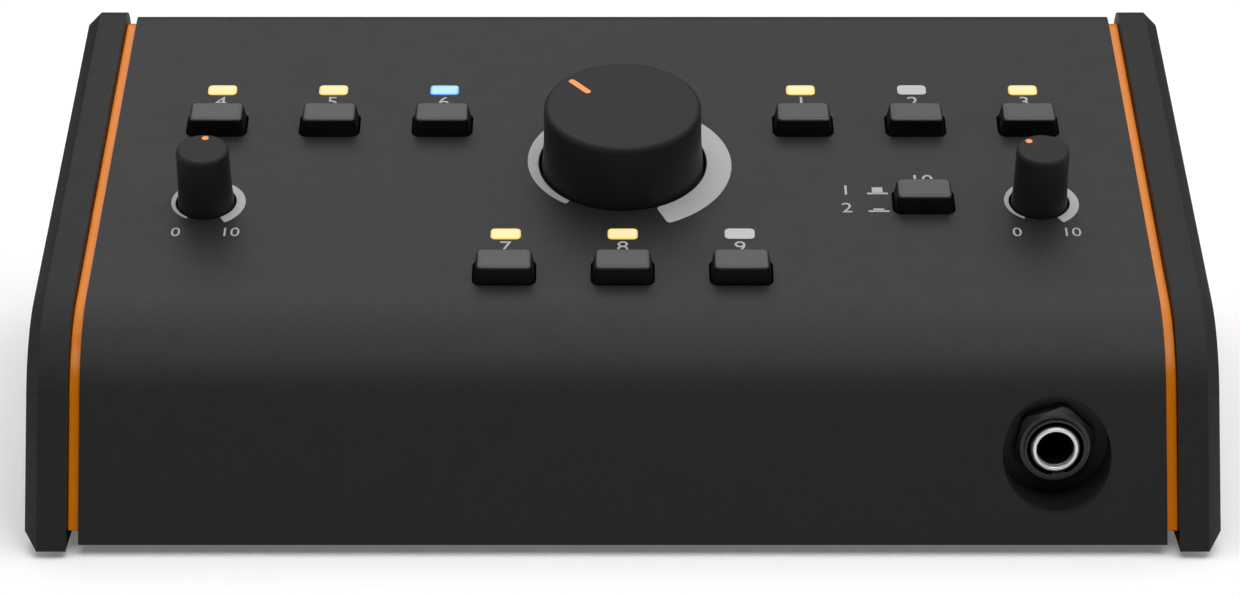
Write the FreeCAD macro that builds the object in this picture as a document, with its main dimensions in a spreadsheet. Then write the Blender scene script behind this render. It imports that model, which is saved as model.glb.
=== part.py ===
"""Studio monitor controller: a sloping desktop housing with knobs, buttons and sockets.

Frame: X across the width, Y towards the rear, Z up. The origin is at the middle of
the footprint, on the surface that the rubber feet stand on. Units are millimetres.
Housing pieces are drawn from the front bottom corner of the cheeks. Panel pieces are
drawn on the sloping panel, whose zero is the line where panel and front would meet.
"""
import FreeCAD, Part
import math
import os
import re
import Sketcher

# Driving dimensions: name, value, meaning
SIZES = [
    ("overall_width", 202.0, "over both cheeks"),
    ("housing_depth", 117.0, "front bottom corner to rear edge of a cheek"),
    ("rear_height", 62.66, "cheek height at the rear before its corner is rounded"),
    ("front_lean", 24.7, "degrees that the front leans back from upright"),
    ("panel_slope", 15.73, "degrees that the panel rises towards the rear"),
    ("bend_radius", 24.0, "large bend between front and panel, on the cheek"),
    ("rear_radius", 6.0, "rear top corner of the cheek"),
    ("nose_radius", 0.9, "lower corners of the cheek"),
    ("cheek_thick", 7.2, "side cheek"),
    ("cheek_chamfer", 2.27, "bevel round the outer face of the cheek"),
    ("accent_thick", 2.0, "coloured plate between cheek and housing"),
    ("accent_inset", 2.15, "how far the plate stays inside the cheek's outline"),
    ("cover_inset", 0.85, "how far the cover stays inside the cheek's outline"),
    ("cover_lift", 0.5, "underside of the cover above the cheek's underside"),
    ("cover_lip_radius", 1.9, "fold at the cover's lower front edge"),
    ("cover_lip", 22.0, "return flange under the floor"),
    ("rear_lip", 10.0, "cover's flange down the rear wall"),
    ("sheet", 1.5, "sheet steel thickness"),
    ("sheet_gap", 0.1, "gap between nested sheets"),
    ("jack_wall", 13.6, "front face of the tray's upright front wall"),
    ("front_wall_top", 22.8, "height of the upright front wall"),
    ("rear_wall_top", 53.5, "height of the rear wall"),
    ("foot_drop", 1.3, "how far the feet stand below the cheeks"),
    ("foot_dia", 12.0, "rubber foot"),
    ("foot_margin", 19.0, "feet from a cheek's outer face"),
    ("foot_front", 34.0, "front feet from the front corner"),
    ("foot_rear", 100.0, "rear feet from the front corner"),
    ("volume_run", 50.1, "volume knob up the slope"),
    ("volume_dia", 28.4, "volume knob at the panel"),
    ("volume_top_dia", 27.8, "volume knob at its top"),
    ("volume_height", 11.8, "volume knob above the panel"),
    ("volume_hole", 30.0, "volume knob opening"),
    ("volume_round", 1.3, "volume knob edge"),
    ("volume_wall", 2.0, "volume knob wall"),
    ("volume_roof", 2.6, "volume knob top"),
    ("rib_thick", 1.2, "ribs in the volume knob"),
    ("rib_tall", 6.0, "ribs in the volume knob"),
    ("volume_turn", 52.0, "pointer angle left of twelve o'clock at rest"),
    ("mark_near", 7.4, "volume mark, inner end"),
    ("mark_far", 11.9, "volume mark, outer end"),
    ("mark_width", 1.2, "volume mark"),
    ("mark_depth", 0.6, "marks let into the knobs"),
    ("mark_gap", 0.02, "clearance round the marks"),
    ("level_margin", 27.35, "small knobs and outer buttons from a cheek's outer face"),
    ("level_run", 37.8, "small knobs up the slope"),
    ("level_dia", 9.4, "small knob at the panel"),
    ("level_top_dia", 8.8, "small knob at its top"),
    ("level_height", 11.4, "small knob above the panel"),
    ("level_hole", 10.7, "small knob opening"),
    ("level_round", 0.7, "small knob edge"),
    ("source_turn", -5.0, "left small knob at rest"),
    ("phones_turn", 45.0, "right small knob at rest"),
    ("dot_radius", 3.25, "dot from the small knob's axis"),
    ("dot_dia", 1.25, "dot on a small knob"),
    ("knob_sink", 1.2, "knobs reach this far below the panel"),
    ("shaft_dia", 6.0, "potentiometer shaft"),
    ("shaft_flat", 1.5, "flat on the shaft, from its axis"),
    ("shaft_gap", 0.05, "radial running clearance in the bushing"),
    ("grip_gap", 0.02, "clearance between knob bore and shaft"),
    ("shaft_top", 8.6, "top of the shafts above the panel"),
    ("pot_size", 16.0, "large potentiometer body"),
    ("pot_collar", 9.0, "large potentiometer bushing"),
    ("small_pot_size", 11.0, "small potentiometer body"),
    ("small_pot_collar", 7.4, "small potentiometer bushing"),
    ("pot_tall", 5.6, "potentiometer body height"),
    ("collar_below", 2.1, "top of the bushings below the panel"),
    ("button_pitch", 20.45, "columns of buttons"),
    ("upper_run", 61.95, "upper row of buttons up the slope"),
    ("lower_run", 16.7, "lower row of buttons up the slope"),
    ("middle_run", 37.8, "latching button up the slope"),
    ("window_offset", 11.4, "indicator windows above their buttons"),
    ("cap_length", 9.9, "button cap at its base, across"),
    ("cap_width", 6.5, "button cap at its base, up the slope"),
    ("cap_taper", 3.2, "degrees of draft on the cap"),
    ("cap_height", 3.2, "cap above the panel"),
    ("cap_sink", 3.0, "cap below the panel"),
    ("cap_corner", 1.1, "cap's upright corners"),
    ("cap_edge", 0.45, "cap's top edges"),
    ("cap_wall", 1.1, "cap wall"),
    ("cap_roof", 2.6, "solid top of the cap"),
    ("cap_socket", 1.6, "stem tongue in the cap"),
    ("button_hole_length", 11.1, "opening round a cap, across"),
    ("button_hole_width", 7.4, "opening round a cap, up the slope"),
    ("button_hole_corner", 1.5, "corners of that opening"),
    ("stem_size", 3.0, "switch stem"),
    ("stem_gap", 0.08, "clearance round the stem"),
    ("stem_clear", 2.6, "stem's foot above the board"),
    ("switch_length", 8.4, "switch body across"),
    ("switch_width", 7.4, "switch body up the slope"),
    ("switch_tall", 4.6, "switch body height"),
    ("window_length", 5.3, "indicator window across"),
    ("window_width", 3.1, "indicator window up the slope"),
    ("window_corner", 0.9, "window corners"),
    ("window_gap", 0.03, "clearance round a window"),
    ("window_proud", 0.12, "window above the panel"),
    ("window_flange", 0.9, "rim that stops the window under the panel"),
    ("window_below", 4.0, "light pipe below its rim"),
    ("lamp_gap", 0.2, "lamp to light pipe"),
    ("lamp_length", 3.2, "board lamp across"),
    ("lamp_width", 1.6, "board lamp up the slope"),
    ("board_depth", 11.0, "top of the control board below the panel"),
    ("board_thick", 1.6, "circuit boards"),
    ("board_margin", 15.0, "control board from a cheek's outer face"),
    ("board_near", 9.0, "control board's lower edge up the slope"),
    ("board_far", 90.0, "control board's upper edge up the slope"),
    ("post_dia", 5.0, "posts of the control board"),
    ("post_margin", 4.5, "posts from the control board's edge"),
    ("post_lower", 13.5, "lower posts up the slope"),
    ("post_upper", 86.0, "upper posts up the slope"),
    ("jack_height", 14.35, "sockets above the cheek's underside"),
    ("phones_margin", 27.7, "phones socket from the right cheek's outer face"),
    ("recess_dia", 18.4, "opening round the phones socket"),
    ("recess_wall", 1.2, "wall of the recess sleeve"),
    ("plug_bore", 6.42, "bore of a 6.35 mm socket"),
    ("ring_dia", 7.9, "bright ring of the socket"),
    ("ring_length", 9.0, "bright ring along the bore"),
    ("ring_proud", 0.5, "ring in front of the bushing"),
    ("bushing_dia", 10.4, "threaded bushing"),
    ("bushing_gap", 0.05, "clearance round bushings"),
    ("bushing_proud", 0.6, "bushing in front of its nut"),
    ("nut_flats", 13.0, "hexagon nut across flats"),
    ("nut_thick", 2.6, "hexagon nut"),
    ("nut_turn", 13.0, "turn of the phones nut"),
    ("jack_length", 24.0, "socket body behind the wall"),
    ("jack_gap", 0.6, "between the bodies of the rear sockets"),
    ("jack_hollow", 7.2, "contact chamber"),
    ("rear_pitches", 6.02, "rear socket pitches in half the inner width"),
    ("jack_place", 5.2, "outermost rear socket, in pitches right of the middle"),
    ("jack_below", 6.75, "socket axis above the main board"),
    ("main_margin", 4.3, "main board's sides to the side walls"),
    ("main_gap", 0.5, "main board's edge to the tray walls"),
    ("phono_place", 3.0, "phono sockets, in pitches left of the middle"),
    ("phono_pitch", 14.0, "upper phono socket above the lower"),
    ("phono_barrel", 8.3, "phono barrel"),
    ("phono_pin_hole", 3.4, "phono centre hole"),
    ("phono_reach", 8.0, "phono barrel behind the wall"),
    ("phono_neck", 7.4, "phono barrel where it passes the wall"),
    ("phono_shoulder", 0.4, "neck between the wall and the barrel"),
    ("phono_bevel", 0.4, "bevel at the barrel's mouth"),
    ("phono_block_width", 11.0, "phono socket block"),
    ("phono_block_depth", 12.0, "phono socket block"),
    ("rocker_place", 4.1333, "power rocker, in pitches left of the middle"),
    ("rocker_height", 20.0, "power rocker's middle"),
    ("rocker_length", 13.0, "rocker paddle, upright"),
    ("rocker_width", 7.4, "rocker paddle, across"),
    ("rocker_tilt", 11.0, "tilt of the rocker at rest"),
    ("rocker_gap", 0.25, "clearance round the paddle"),
    ("rocker_dish", 1.2, "middle of the paddle behind its pivot"),
    ("pivot_dia", 1.4, "rocker pivot"),
    ("pivot_gap", 0.05, "clearance round the pivot"),
    ("bezel_rim", 2.4, "frame round the paddle"),
    ("bezel_proud", 1.6, "frame behind the wall"),
    ("inlet_place", 5.2667, "supply inlet, in pitches left of the middle"),
    ("inlet_bore", 5.6, "supply inlet bore"),
    ("inlet_dia", 9.0, "supply inlet nose"),
    ("inlet_pin", 2.1, "supply inlet centre pin"),
    ("inlet_proud", 0.6, "supply inlet behind the wall"),
    ("inlet_half", 5.0, "half width of the inlet body"),
    ("inlet_above", 5.5, "inlet body above its axis"),
    ("inlet_depth", 13.0, "inlet body"),
    ("inlet_deep", 9.5, "inlet bore"),
    ("screw_dia", 3.0, "M3 screws"),
    ("screw_head", 5.6, "pan head"),
    ("screw_head_tall", 2.0, "pan head"),
    ("screw_gap", 0.2, "clearance round a screw"),
    ("screw_bite", 4.5, "how far a screw enters a cheek"),
    ("screw_front", 24.0, "front cheek screw from the front corner"),
    ("screw_rear", 100.0, "rear cheek screw from the front corner"),
    ("screw_low", 12.0, "height of the lower cheek screws"),
    ("screw_upper", 96.0, "upper cheek screw from the front corner"),
    ("screw_high", 34.0, "height of the upper cheek screw"),
]

# Worked-out places: name, formula on the names above
PLACES = [
    ("cover_half", "overall_width / 2 - cheek_thick - accent_thick"),
    ("accent_half", "overall_width / 2 - cheek_thick"),
    ("inner_half", "cover_half - sheet"),
    ("foot_half", "overall_width / 2 - foot_margin"),
    ("level_side", "overall_width / 2 - level_margin"),
    ("board_half", "overall_width / 2 - board_margin"),
    ("post_side", "board_half - post_margin"),
    ("phones_side", "overall_width / 2 - phones_margin"),
    ("main_half", "inner_half - main_margin"),
    ("jack_pitch", "inner_half / rear_pitches"),
    ("jack_width", "jack_pitch - jack_gap"),
    ("jack_first", "jack_place * jack_pitch"),
    ("phono_side", "-phono_place * jack_pitch"),
    ("rocker_side", "-rocker_place * jack_pitch"),
    ("inlet_side", "-inlet_place * jack_pitch"),
    ("floor_low", "cover_lift + sheet"),
    ("floor_top", "cover_lift + 2 * sheet"),
    ("jack_wall_in", "jack_wall + sheet"),
    ("rear_wall_out", "housing_depth - cover_inset - sheet"),
    ("rear_wall_in", "rear_wall_out - sheet"),
    ("nut_front", "jack_wall - nut_thick"),
    ("bushing_front", "nut_front - bushing_proud"),
    ("ring_front", "bushing_front - ring_proud"),
    ("main_top", "jack_height - jack_below"),
    ("rear_reach", "rear_wall_out + phono_reach"),
    ("nose_reach", "nose_radius * (1 / cos(front_lean) + tan(front_lean) - 1)"),
    ("mid_depth", "(rear_reach + nose_reach) / 2"),
    ("pot_top", "-board_depth + pot_tall"),
    ("switch_top", "-board_depth + switch_tall"),
    ("screw_reach", "sheet + accent_thick + screw_bite"),
    ("post_tall", "board_depth - sheet"),
]

ALIASES = {name: "Sizes" for name, _, _ in SIZES}
ALIASES.update({name: "Places" for name, _ in PLACES})
WORD = re.compile(r"[a-z][a-z_]+[a-z]")

doc = FreeCAD.newDocument("monitor_controller")
sheet = doc.addObject("Spreadsheet::Sheet", "Sizes")
places = doc.addObject("Spreadsheet::Sheet", "Places")


def formula(text):
    """Names the sheet of every size in a formula."""
    return WORD.sub(lambda m: ALIASES[m[0]] + "." + m[0] if m[0] in ALIASES else m[0], str(text))


for row, (name, value, meaning) in enumerate(SIZES, 1):
    sheet.set(f"A{row}", name)
    sheet.set(f"B{row}", str(value))
    sheet.setAlias(f"B{row}", name)
    sheet.set(f"C{row}", meaning)
for row, (name, text) in enumerate(PLACES, 1):
    places.set(f"A{row}", name)
    places.set(f"B{row}", "=" + formula(text).replace("Places.", ""))
    places.setAlias(f"B{row}", name)
doc.recompute()

NODES = {}


def number(text):
    """The value of a formula now."""
    return float(sheet.evalExpression(formula(text)))


def bind(thing, slot, text):
    thing.setExpression(slot, formula(text))


def corner(inset, low="0", rear=None):
    """Corners of the side outline drawn in by a distance: nose, bend, rear top, rear bottom."""
    back = f"(housing_depth - ({inset if rear is None else rear}))"
    bend_up = (f"((rear_height - housing_depth * tan(panel_slope) - ({inset}) / cos(panel_slope)"
               f" + tan(panel_slope) * ({inset}) / cos(front_lean))"
               f" / (1 - tan(panel_slope) * tan(front_lean)))")
    front = "({}) * tan(front_lean) + (" + inset + ") / cos(front_lean)"
    top = f"rear_height - (housing_depth - {back}) * tan(panel_slope) - ({inset}) / cos(panel_slope)"
    return [(front.format(low), low), (front.format(bend_up), bend_up), (back, top), (back, low)]


def plane(body, role):
    return next(f for f in body.Origin.OriginFeatures if f.Role == role)


def new_body(label):
    return doc.addObject("PartDesign::Body", label)


def new_sketch(body, role, offset="vector(0; 0; 0)", tilt="0"):
    sketch = body.newObject("Sketcher::SketchObject", "sketch")
    sketch.AttachmentSupport = [(plane(body, role), "")]
    sketch.MapMode = "FlatFace"
    bind(sketch, "AttachmentOffset", f"placement({offset}; rotation(vector(1; 0; 0); {tilt}))")
    return sketch


def hold(sketch, kind, where, text):
    """Adds one driving dimension from the sketch's zero and binds it."""
    value = number(text)
    index = sketch.addConstraint(Sketcher.Constraint(kind, -1, 1, where[0], where[1], value))
    bind(sketch, f"Constraints[{index}]", text)


def polygon(sketch, points):
    """A closed outline whose corners are held by their two coordinates."""
    spots = [FreeCAD.Vector(number(a), number(b), 0) for a, b in points]
    first = sketch.GeometryCount
    count = len(points)
    for i in range(count):
        sketch.addGeometry(Part.LineSegment(spots[i], spots[(i + 1) % count]), False)
    for i in range(count):
        follow = first + (i + 1) % count
        sketch.addConstraint(Sketcher.Constraint("Coincident", first + i, 2, follow, 1))
    for i, (a, b) in enumerate(points):
        hold(sketch, "DistanceX", (first + i, 1), a)
        hold(sketch, "DistanceY", (first + i, 1), b)


def rounded_outline(sketch, points, radii):
    """A closed outline with tangent arcs at the corners that radii names by index."""
    spots = [FreeCAD.Vector(number(a), number(b), 0) for a, b in points]
    count = len(points)
    ends = []
    for i, spot in enumerate(spots):
        before = (spots[i - 1] - spot).normalize()
        after = (spots[(i + 1) % count] - spot).normalize()
        if i in radii:
            half = before.getAngle(after) / 2
            radius = number(radii[i])
            bisector = (before + after).normalize()
            crown = spot + bisector * (radius / math.sin(half) - radius)
            reach = radius / math.tan(half)
            ends.append((spot + before * reach, crown, spot + after * reach))
        else:
            ends.append((spot, None, spot))
    lines = [sketch.addGeometry(Part.LineSegment(ends[i][2], ends[(i + 1) % count][0]), False)
             for i in range(count)]
    for i in range(count):
        mark = sketch.addGeometry(Part.Point(spots[i]), True)
        hold(sketch, "DistanceX", (mark, 1), points[i][0])
        hold(sketch, "DistanceY", (mark, 1), points[i][1])
        for line in (lines[i - 1], lines[i]):
            sketch.addConstraint(Sketcher.Constraint("PointOnObject", mark, 1, line))
        if i not in radii:
            sketch.addConstraint(Sketcher.Constraint("Coincident", lines[i - 1], 2, lines[i], 1))
            continue
        arc = sketch.addGeometry(Part.Arc(*ends[i]), False)
        first = 1 if sketch.getPoint(arc, 1).distanceToPoint(ends[i][0]) < 1e-6 else 2
        sketch.addConstraint(Sketcher.Constraint("Tangent", lines[i - 1], 2, arc, first))
        sketch.addConstraint(Sketcher.Constraint("Tangent", lines[i], 1, arc, 3 - first))
        size = sketch.addConstraint(Sketcher.Constraint("Radius", arc, number(radii[i])))
        bind(sketch, f"Constraints[{size}]", radii[i])


def rectangle(sketch, x, y, length, width):
    left, right = f"{x} - ({length}) / 2", f"{x} + ({length}) / 2"
    low, high = f"{y} - ({width}) / 2", f"{y} + ({width}) / 2"
    polygon(sketch, [(left, low), (right, low), (right, high), (left, high)])


def circle(sketch, x, y, diameter):
    spot = FreeCAD.Vector(number(x), number(y), 0)
    index = sketch.addGeometry(Part.Circle(spot, FreeCAD.Vector(0, 0, 1), number(diameter) / 2), False)
    hold(sketch, "DistanceX", (index, 3), x)
    hold(sketch, "DistanceY", (index, 3), y)
    size = sketch.addConstraint(Sketcher.Constraint("Diameter", index, number(diameter)))
    bind(sketch, f"Constraints[{size}]", diameter)


def flatted_circle(sketch, diameter, flat):
    """A round with one flat towards +Y, as on a D shaft."""
    radius, height = number(diameter) / 2, number(flat)
    half = math.sqrt(radius ** 2 - height ** 2)
    start = math.atan2(height, -half)
    end = math.atan2(height, half) + 2 * math.pi
    arc = Part.ArcOfCircle(Part.Circle(FreeCAD.Vector(), FreeCAD.Vector(0, 0, 1), radius), start, end)
    sketch.addGeometry(arc, False)
    chord = Part.LineSegment(FreeCAD.Vector(half, height, 0), FreeCAD.Vector(-half, height, 0))
    sketch.addGeometry(chord, False)
    sketch.addConstraint(Sketcher.Constraint("Coincident", 0, 3, -1, 1))
    sketch.addConstraint(Sketcher.Constraint("Coincident", 0, 2, 1, 1))
    sketch.addConstraint(Sketcher.Constraint("Coincident", 1, 2, 0, 1))
    sketch.addConstraint(Sketcher.Constraint("Horizontal", 1))
    size = sketch.addConstraint(Sketcher.Constraint("Radius", 0, radius))
    bind(sketch, f"Constraints[{size}]", f"({diameter}) / 2")
    hold(sketch, "DistanceY", (1, 1), flat)


def pad(body, sketch, length, reverse=False, middle=False, taper=None):
    feature = body.newObject("PartDesign::Pad", "pad")
    feature.Profile = sketch
    feature.Length = number(length)
    bind(feature, "Length", length)
    feature.Reversed = reverse
    feature.SideType = "Symmetric" if middle else "One side"
    if taper:
        bind(feature, "TaperAngle", taper)
    doc.recompute()
    return feature


def cut(body, sketch, length, reverse=False, middle=False):
    """A pocket. Without reverse it runs against the sketch's normal."""
    before = body.Shape.Volume
    feature = body.newObject("PartDesign::Pocket", "pocket")
    feature.Profile = sketch
    feature.Length = number(length)
    bind(feature, "Length", length)
    feature.Reversed = reverse
    feature.SideType = "Symmetric" if middle else "One side"
    doc.recompute()
    if not body.Shape.Volume < before - 1e-6:
        raise RuntimeError(f"{body.Label}: a pocket removed nothing")
    return feature


def revolve(body, points):
    """A turned piece: radius and height points about the sketch's upright axis."""
    sketch = new_sketch(body, "XZ_Plane")
    polygon(sketch, points)
    feature = body.newObject("PartDesign::Revolution", "turned")
    feature.Profile = sketch
    feature.ReferenceAxis = (sketch, ["V_Axis"])
    feature.Angle = 360.0
    doc.recompute()
    return feature


def edges(feature, test):
    """Names of the edges whose middle, direction and curve pass a test."""
    found = []
    for index, edge in enumerate(feature.Shape.Edges, 1):
        if edge.Degenerated:
            continue
        middle = edge.valueAt((edge.FirstParameter + edge.LastParameter) / 2)
        along = edge.tangentAt((edge.FirstParameter + edge.LastParameter) / 2)
        if test(middle, along, edge):
            found.append(f"Edge{index}")
    if not found:
        raise RuntimeError(f"{feature.Label}: no edge to dress")
    return found


def dress(body, kind, size, test):
    base = body.Tip
    feature = body.newObject("PartDesign::" + kind, kind.lower())
    feature.Base = (base, edges(base, test))
    slot = "Radius" if kind == "Fillet" else "Size"
    setattr(feature, slot, number(size))
    bind(feature, slot, size)
    doc.recompute()
    return feature


def put_housing(thing, x="0", y="0", z="0"):
    bind(thing, "Placement",
         f"placement(vector({x}; ({y}) - mid_depth; ({z}) + foot_drop); rotation(vector(1; 0; 0); 0))")


def put_panel(thing, x="0", run="0", lift="0", turn="0"):
    """Seats a piece on the panel: across, up the slope, above it and turned on its axis."""
    y, z = corner("cover_inset")[1]
    y = f"{y} + ({run}) * cos(panel_slope) - ({lift}) * sin(panel_slope) - mid_depth"
    z = f"{z} + ({run}) * sin(panel_slope) + ({lift}) * cos(panel_slope) + foot_drop"
    bind(thing, "Placement",
         f"placement(vector({x}; {y}; {z}); rotation(vector(1; 0; 0); panel_slope))"
         f" * placement(vector(0; 0; 0); rotation(vector(0; 0; 1); {turn}))")


def keep(thing, node):
    thing.Label = node
    NODES[node] = thing
    return thing


def group(node, master, spots):
    """One node of like solids: each spot is a function that places one copy."""
    copies = []
    for place in spots:
        link = doc.addObject("App::Link", node + "_copy")
        link.LinkedObject = master
        place(link)
        copies.append(link)
    whole = doc.addObject("Part::Compound", node)
    whole.Links = copies
    return keep(whole, node)


def panel_sketch(body, lift="0"):
    """A sketch that lies on the sloping panel of a housing piece."""
    y, z = corner("cover_inset")[1]
    y = f"{y} - ({lift}) * sin(panel_slope)"
    z = f"{z} + ({lift}) * cos(panel_slope)"
    return new_sketch(body, "XY_Plane", f"vector(0; {y}; {z})", "panel_slope")


def upright_sketch(body, y):
    """A sketch that stands across the housing, looking to the front."""
    return new_sketch(body, "XZ_Plane", f"vector(0; 0; -({y}))")


def side_sketch(body, x="0"):
    return new_sketch(body, "YZ_Plane", f"vector(0; 0; {x})")


# Panel layout: name, across, up the slope, indicator colour
COLUMNS = [f"level_side - {step} * button_pitch" for step in (0, 1, 2)]
BUTTONS = [(f"button_{i}", f"-({x})", "upper_run", lamp)
           for i, (x, lamp) in enumerate(zip(COLUMNS, ("amber", "amber", "blue")), 1)]
BUTTONS += [(f"button_{i}", x, "upper_run", lamp)
            for i, (x, lamp) in enumerate(zip(COLUMNS[::-1], ("amber", "clear", "amber")), 4)]
BUTTONS += [(f"button_{i}", f"{step} * button_pitch", "lower_run", lamp)
            for i, (step, lamp) in enumerate(zip((-1, 0, 1), ("amber", "amber", "clear")), 7)]
LATCH = ("latch_button", COLUMNS[1], "middle_run")
PLACES_ON_PANEL = [b[:3] for b in BUTTONS] + [LATCH]
PHONES = ("phones_side", "jack_height")
REAR_JACKS = [f"jack_first - {step} * jack_pitch" for step in range(8)]
CHEEK_SCREWS = [("screw_front", "screw_low"), ("screw_rear", "screw_low"), ("screw_upper", "screw_high")]
POSTS = [(side, run) for side in ("-post_side", "post_side") for run in ("post_lower", "post_upper")]


def rounded_cut(body, boxes, lift, depth, radius):
    """Openings in the panel with rounded corners: across, up the slope, length, width."""
    sketch = panel_sketch(body, lift)
    for x, run, length, width in boxes:
        rectangle(sketch, x, run, length, width)
    cut(body, sketch, depth)
    slope = math.radians(number("panel_slope"))
    normal = FreeCAD.Vector(0, -math.sin(slope), math.cos(slope))
    corners = []
    y, z = (number(text) for text in corner("cover_inset")[1])
    for x, run, length, width in boxes:
        for sx in (-0.5, 0.5):
            for sy in (-0.5, 0.5):
                up = number(run) + sy * number(width)
                corners.append((number(x) + sx * number(length), up))

    def at_corner(p, d, e):
        if abs(d.dot(normal)) < 0.999:
            return False
        up = (p.y - y) * math.cos(slope) + (p.z - z) * math.sin(slope)
        return any(abs(p.x - a) < 0.01 and abs(up - b) < 0.01 for a, b in corners)

    dress(body, "Fillet", radius, at_corner)


def make_cover():
    """Folded cover: leaning front, large bend, panel, rear bend and two flanges."""
    body = new_body("top_cover")
    bends = {0: "cover_lip_radius", 1: "bend_radius - cover_inset", 2: "rear_radius - cover_inset"}
    sketch = side_sketch(body)
    rounded_outline(sketch, corner("cover_inset", "cover_lift"), bends)
    pad(body, sketch, "2 * cover_half", middle=True)
    sketch = side_sketch(body)
    inner = corner("cover_inset + sheet", "cover_lift + sheet")
    rounded_outline(sketch, inner, {i: radius + " - sheet" for i, radius in bends.items()})
    cut(body, sketch, "2 * cover_half + 2", middle=True)
    opening = side_sketch(body)
    flange = "rear_wall_out - 1"
    polygon(opening, [("cover_lip", "-5"), ("housing_depth + 5", "-5"),
                      ("housing_depth + 5", "rear_wall_top - rear_lip"),
                      (flange, "rear_wall_top - rear_lip"), (flange, "floor_top"),
                      ("cover_lip", "floor_top")])
    cut(body, opening, "2 * cover_half + 2", middle=True)
    holes = panel_sketch(body, "1")
    circle(holes, "0", "volume_run", "volume_hole")
    circle(holes, "-level_side", "level_run", "level_hole")
    circle(holes, "level_side", "level_run", "level_hole")
    cut(body, holes, "sheet + 2")
    windows = [(x, f"{run} + window_offset", "window_length", "window_width") for _, x, run, _ in BUTTONS]
    rounded_cut(body, windows, "1", "sheet + 2", "window_corner")
    caps = [(x, run, "button_hole_length", "button_hole_width") for _, x, run in PLACES_ON_PANEL]
    rounded_cut(body, caps, "1", "sheet + 2", "button_hole_corner")
    recess = upright_sketch(body, "jack_wall")
    circle(recess, *PHONES, "recess_dia")
    cut(body, recess, "jack_wall + 2", reverse=True)
    put_housing(keep(body, "top_cover"))


def make_tray():
    """Folded tray: floor, upright front and rear walls, and side walls under the cover."""
    body = new_body("chassis_tray")
    inset = "cover_inset + sheet + sheet_gap"
    sketch = side_sketch(body)
    rounded_outline(sketch, corner(inset, "floor_low", "cover_inset + sheet"),
                    {1: "bend_radius - cover_inset - sheet", 2: "rear_radius - cover_inset - sheet"})
    pad(body, sketch, "2 * cover_half", middle=True)
    room = side_sketch(body)
    polygon(room, [("jack_wall_in", "floor_top"), ("rear_wall_in", "floor_top"),
                   ("rear_wall_in", "rear_wall_top"), ("housing_depth", "rear_wall_top"),
                   ("housing_depth", "rear_height + 5"), ("jack_wall_in", "rear_height + 5")])
    cut(body, room, "2 * inner_half", middle=True)
    ahead = side_sketch(body)
    polygon(ahead, [("-1", "-1"), ("jack_wall", "-1"), ("jack_wall", "front_wall_top"),
                    ("jack_wall_in", "front_wall_top"), ("jack_wall_in", "rear_height"),
                    ("-1", "rear_height")])
    cut(body, ahead, "2 * inner_half", middle=True)
    front = upright_sketch(body, "jack_wall_in + 1")
    circle(front, *PHONES, "bushing_dia + 2 * bushing_gap")
    cut(body, front, "sheet + 2", reverse=True)
    rear = upright_sketch(body, "rear_wall_out + 1")
    for x in REAR_JACKS:
        circle(rear, x, "jack_height", "bushing_dia + 2 * bushing_gap")
    for step in (0, 1):
        circle(rear, "phono_side", f"jack_height + {step} * phono_pitch", "phono_neck + 2 * bushing_gap")
    circle(rear, "inlet_side", "jack_height", "inlet_dia + 2 * bushing_gap")
    rectangle(rear, "rocker_side", "rocker_height", "rocker_width + bezel_rim", "rocker_length + bezel_rim")
    cut(body, rear, "sheet + 2", reverse=True)
    sides = side_sketch(body)
    for y, z in CHEEK_SCREWS:
        circle(sides, y, z, "screw_dia + 2 * screw_gap")
    cut(body, sides, "overall_width", middle=True)
    put_housing(keep(body, "chassis_tray"))


def make_cheek(node, sign):
    """Side cheek with a bevelled outer face and blind screw holes inside."""
    body = new_body(node)
    sketch = side_sketch(body, f"{sign} * accent_half")
    rounded_outline(sketch, corner("0"), {1: "bend_radius", 2: "rear_radius"})
    pad(body, sketch, "cheek_thick", reverse=sign < 0)
    outer = sign * number("overall_width") / 2
    dress(body, "Chamfer", "cheek_chamfer", lambda p, d, e: abs(p.x - outer) < 0.01)
    inner = sign * number("accent_half")

    def nose(p, d, e):
        low = (abs(p.z) < 0.05) and (p.y < 0.05 or p.y > number("housing_depth") - 0.05)
        return abs(d.x) > 0.999 and low and abs(p.x - inner) > 0.5

    dress(body, "Fillet", "nose_radius", nose)
    holes = side_sketch(body, f"{sign} * accent_half")
    for y, z in CHEEK_SCREWS:
        circle(holes, y, z, "screw_dia")
    cut(body, holes, "screw_bite + 0.5", reverse=sign > 0)
    put_housing(keep(body, node))


def make_accent(node, sign):
    body = new_body(node)
    sketch = side_sketch(body, f"{sign} * cover_half")
    rounded_outline(sketch, corner("accent_inset", "accent_inset"),
                    {0: "nose_radius", 1: "bend_radius - accent_inset", 2: "rear_radius - accent_inset"})
    for y, z in CHEEK_SCREWS:
        circle(sketch, y, z, "screw_dia + 2 * screw_gap")
    pad(body, sketch, "accent_thick", reverse=sign < 0)
    put_housing(keep(body, node))


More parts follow.
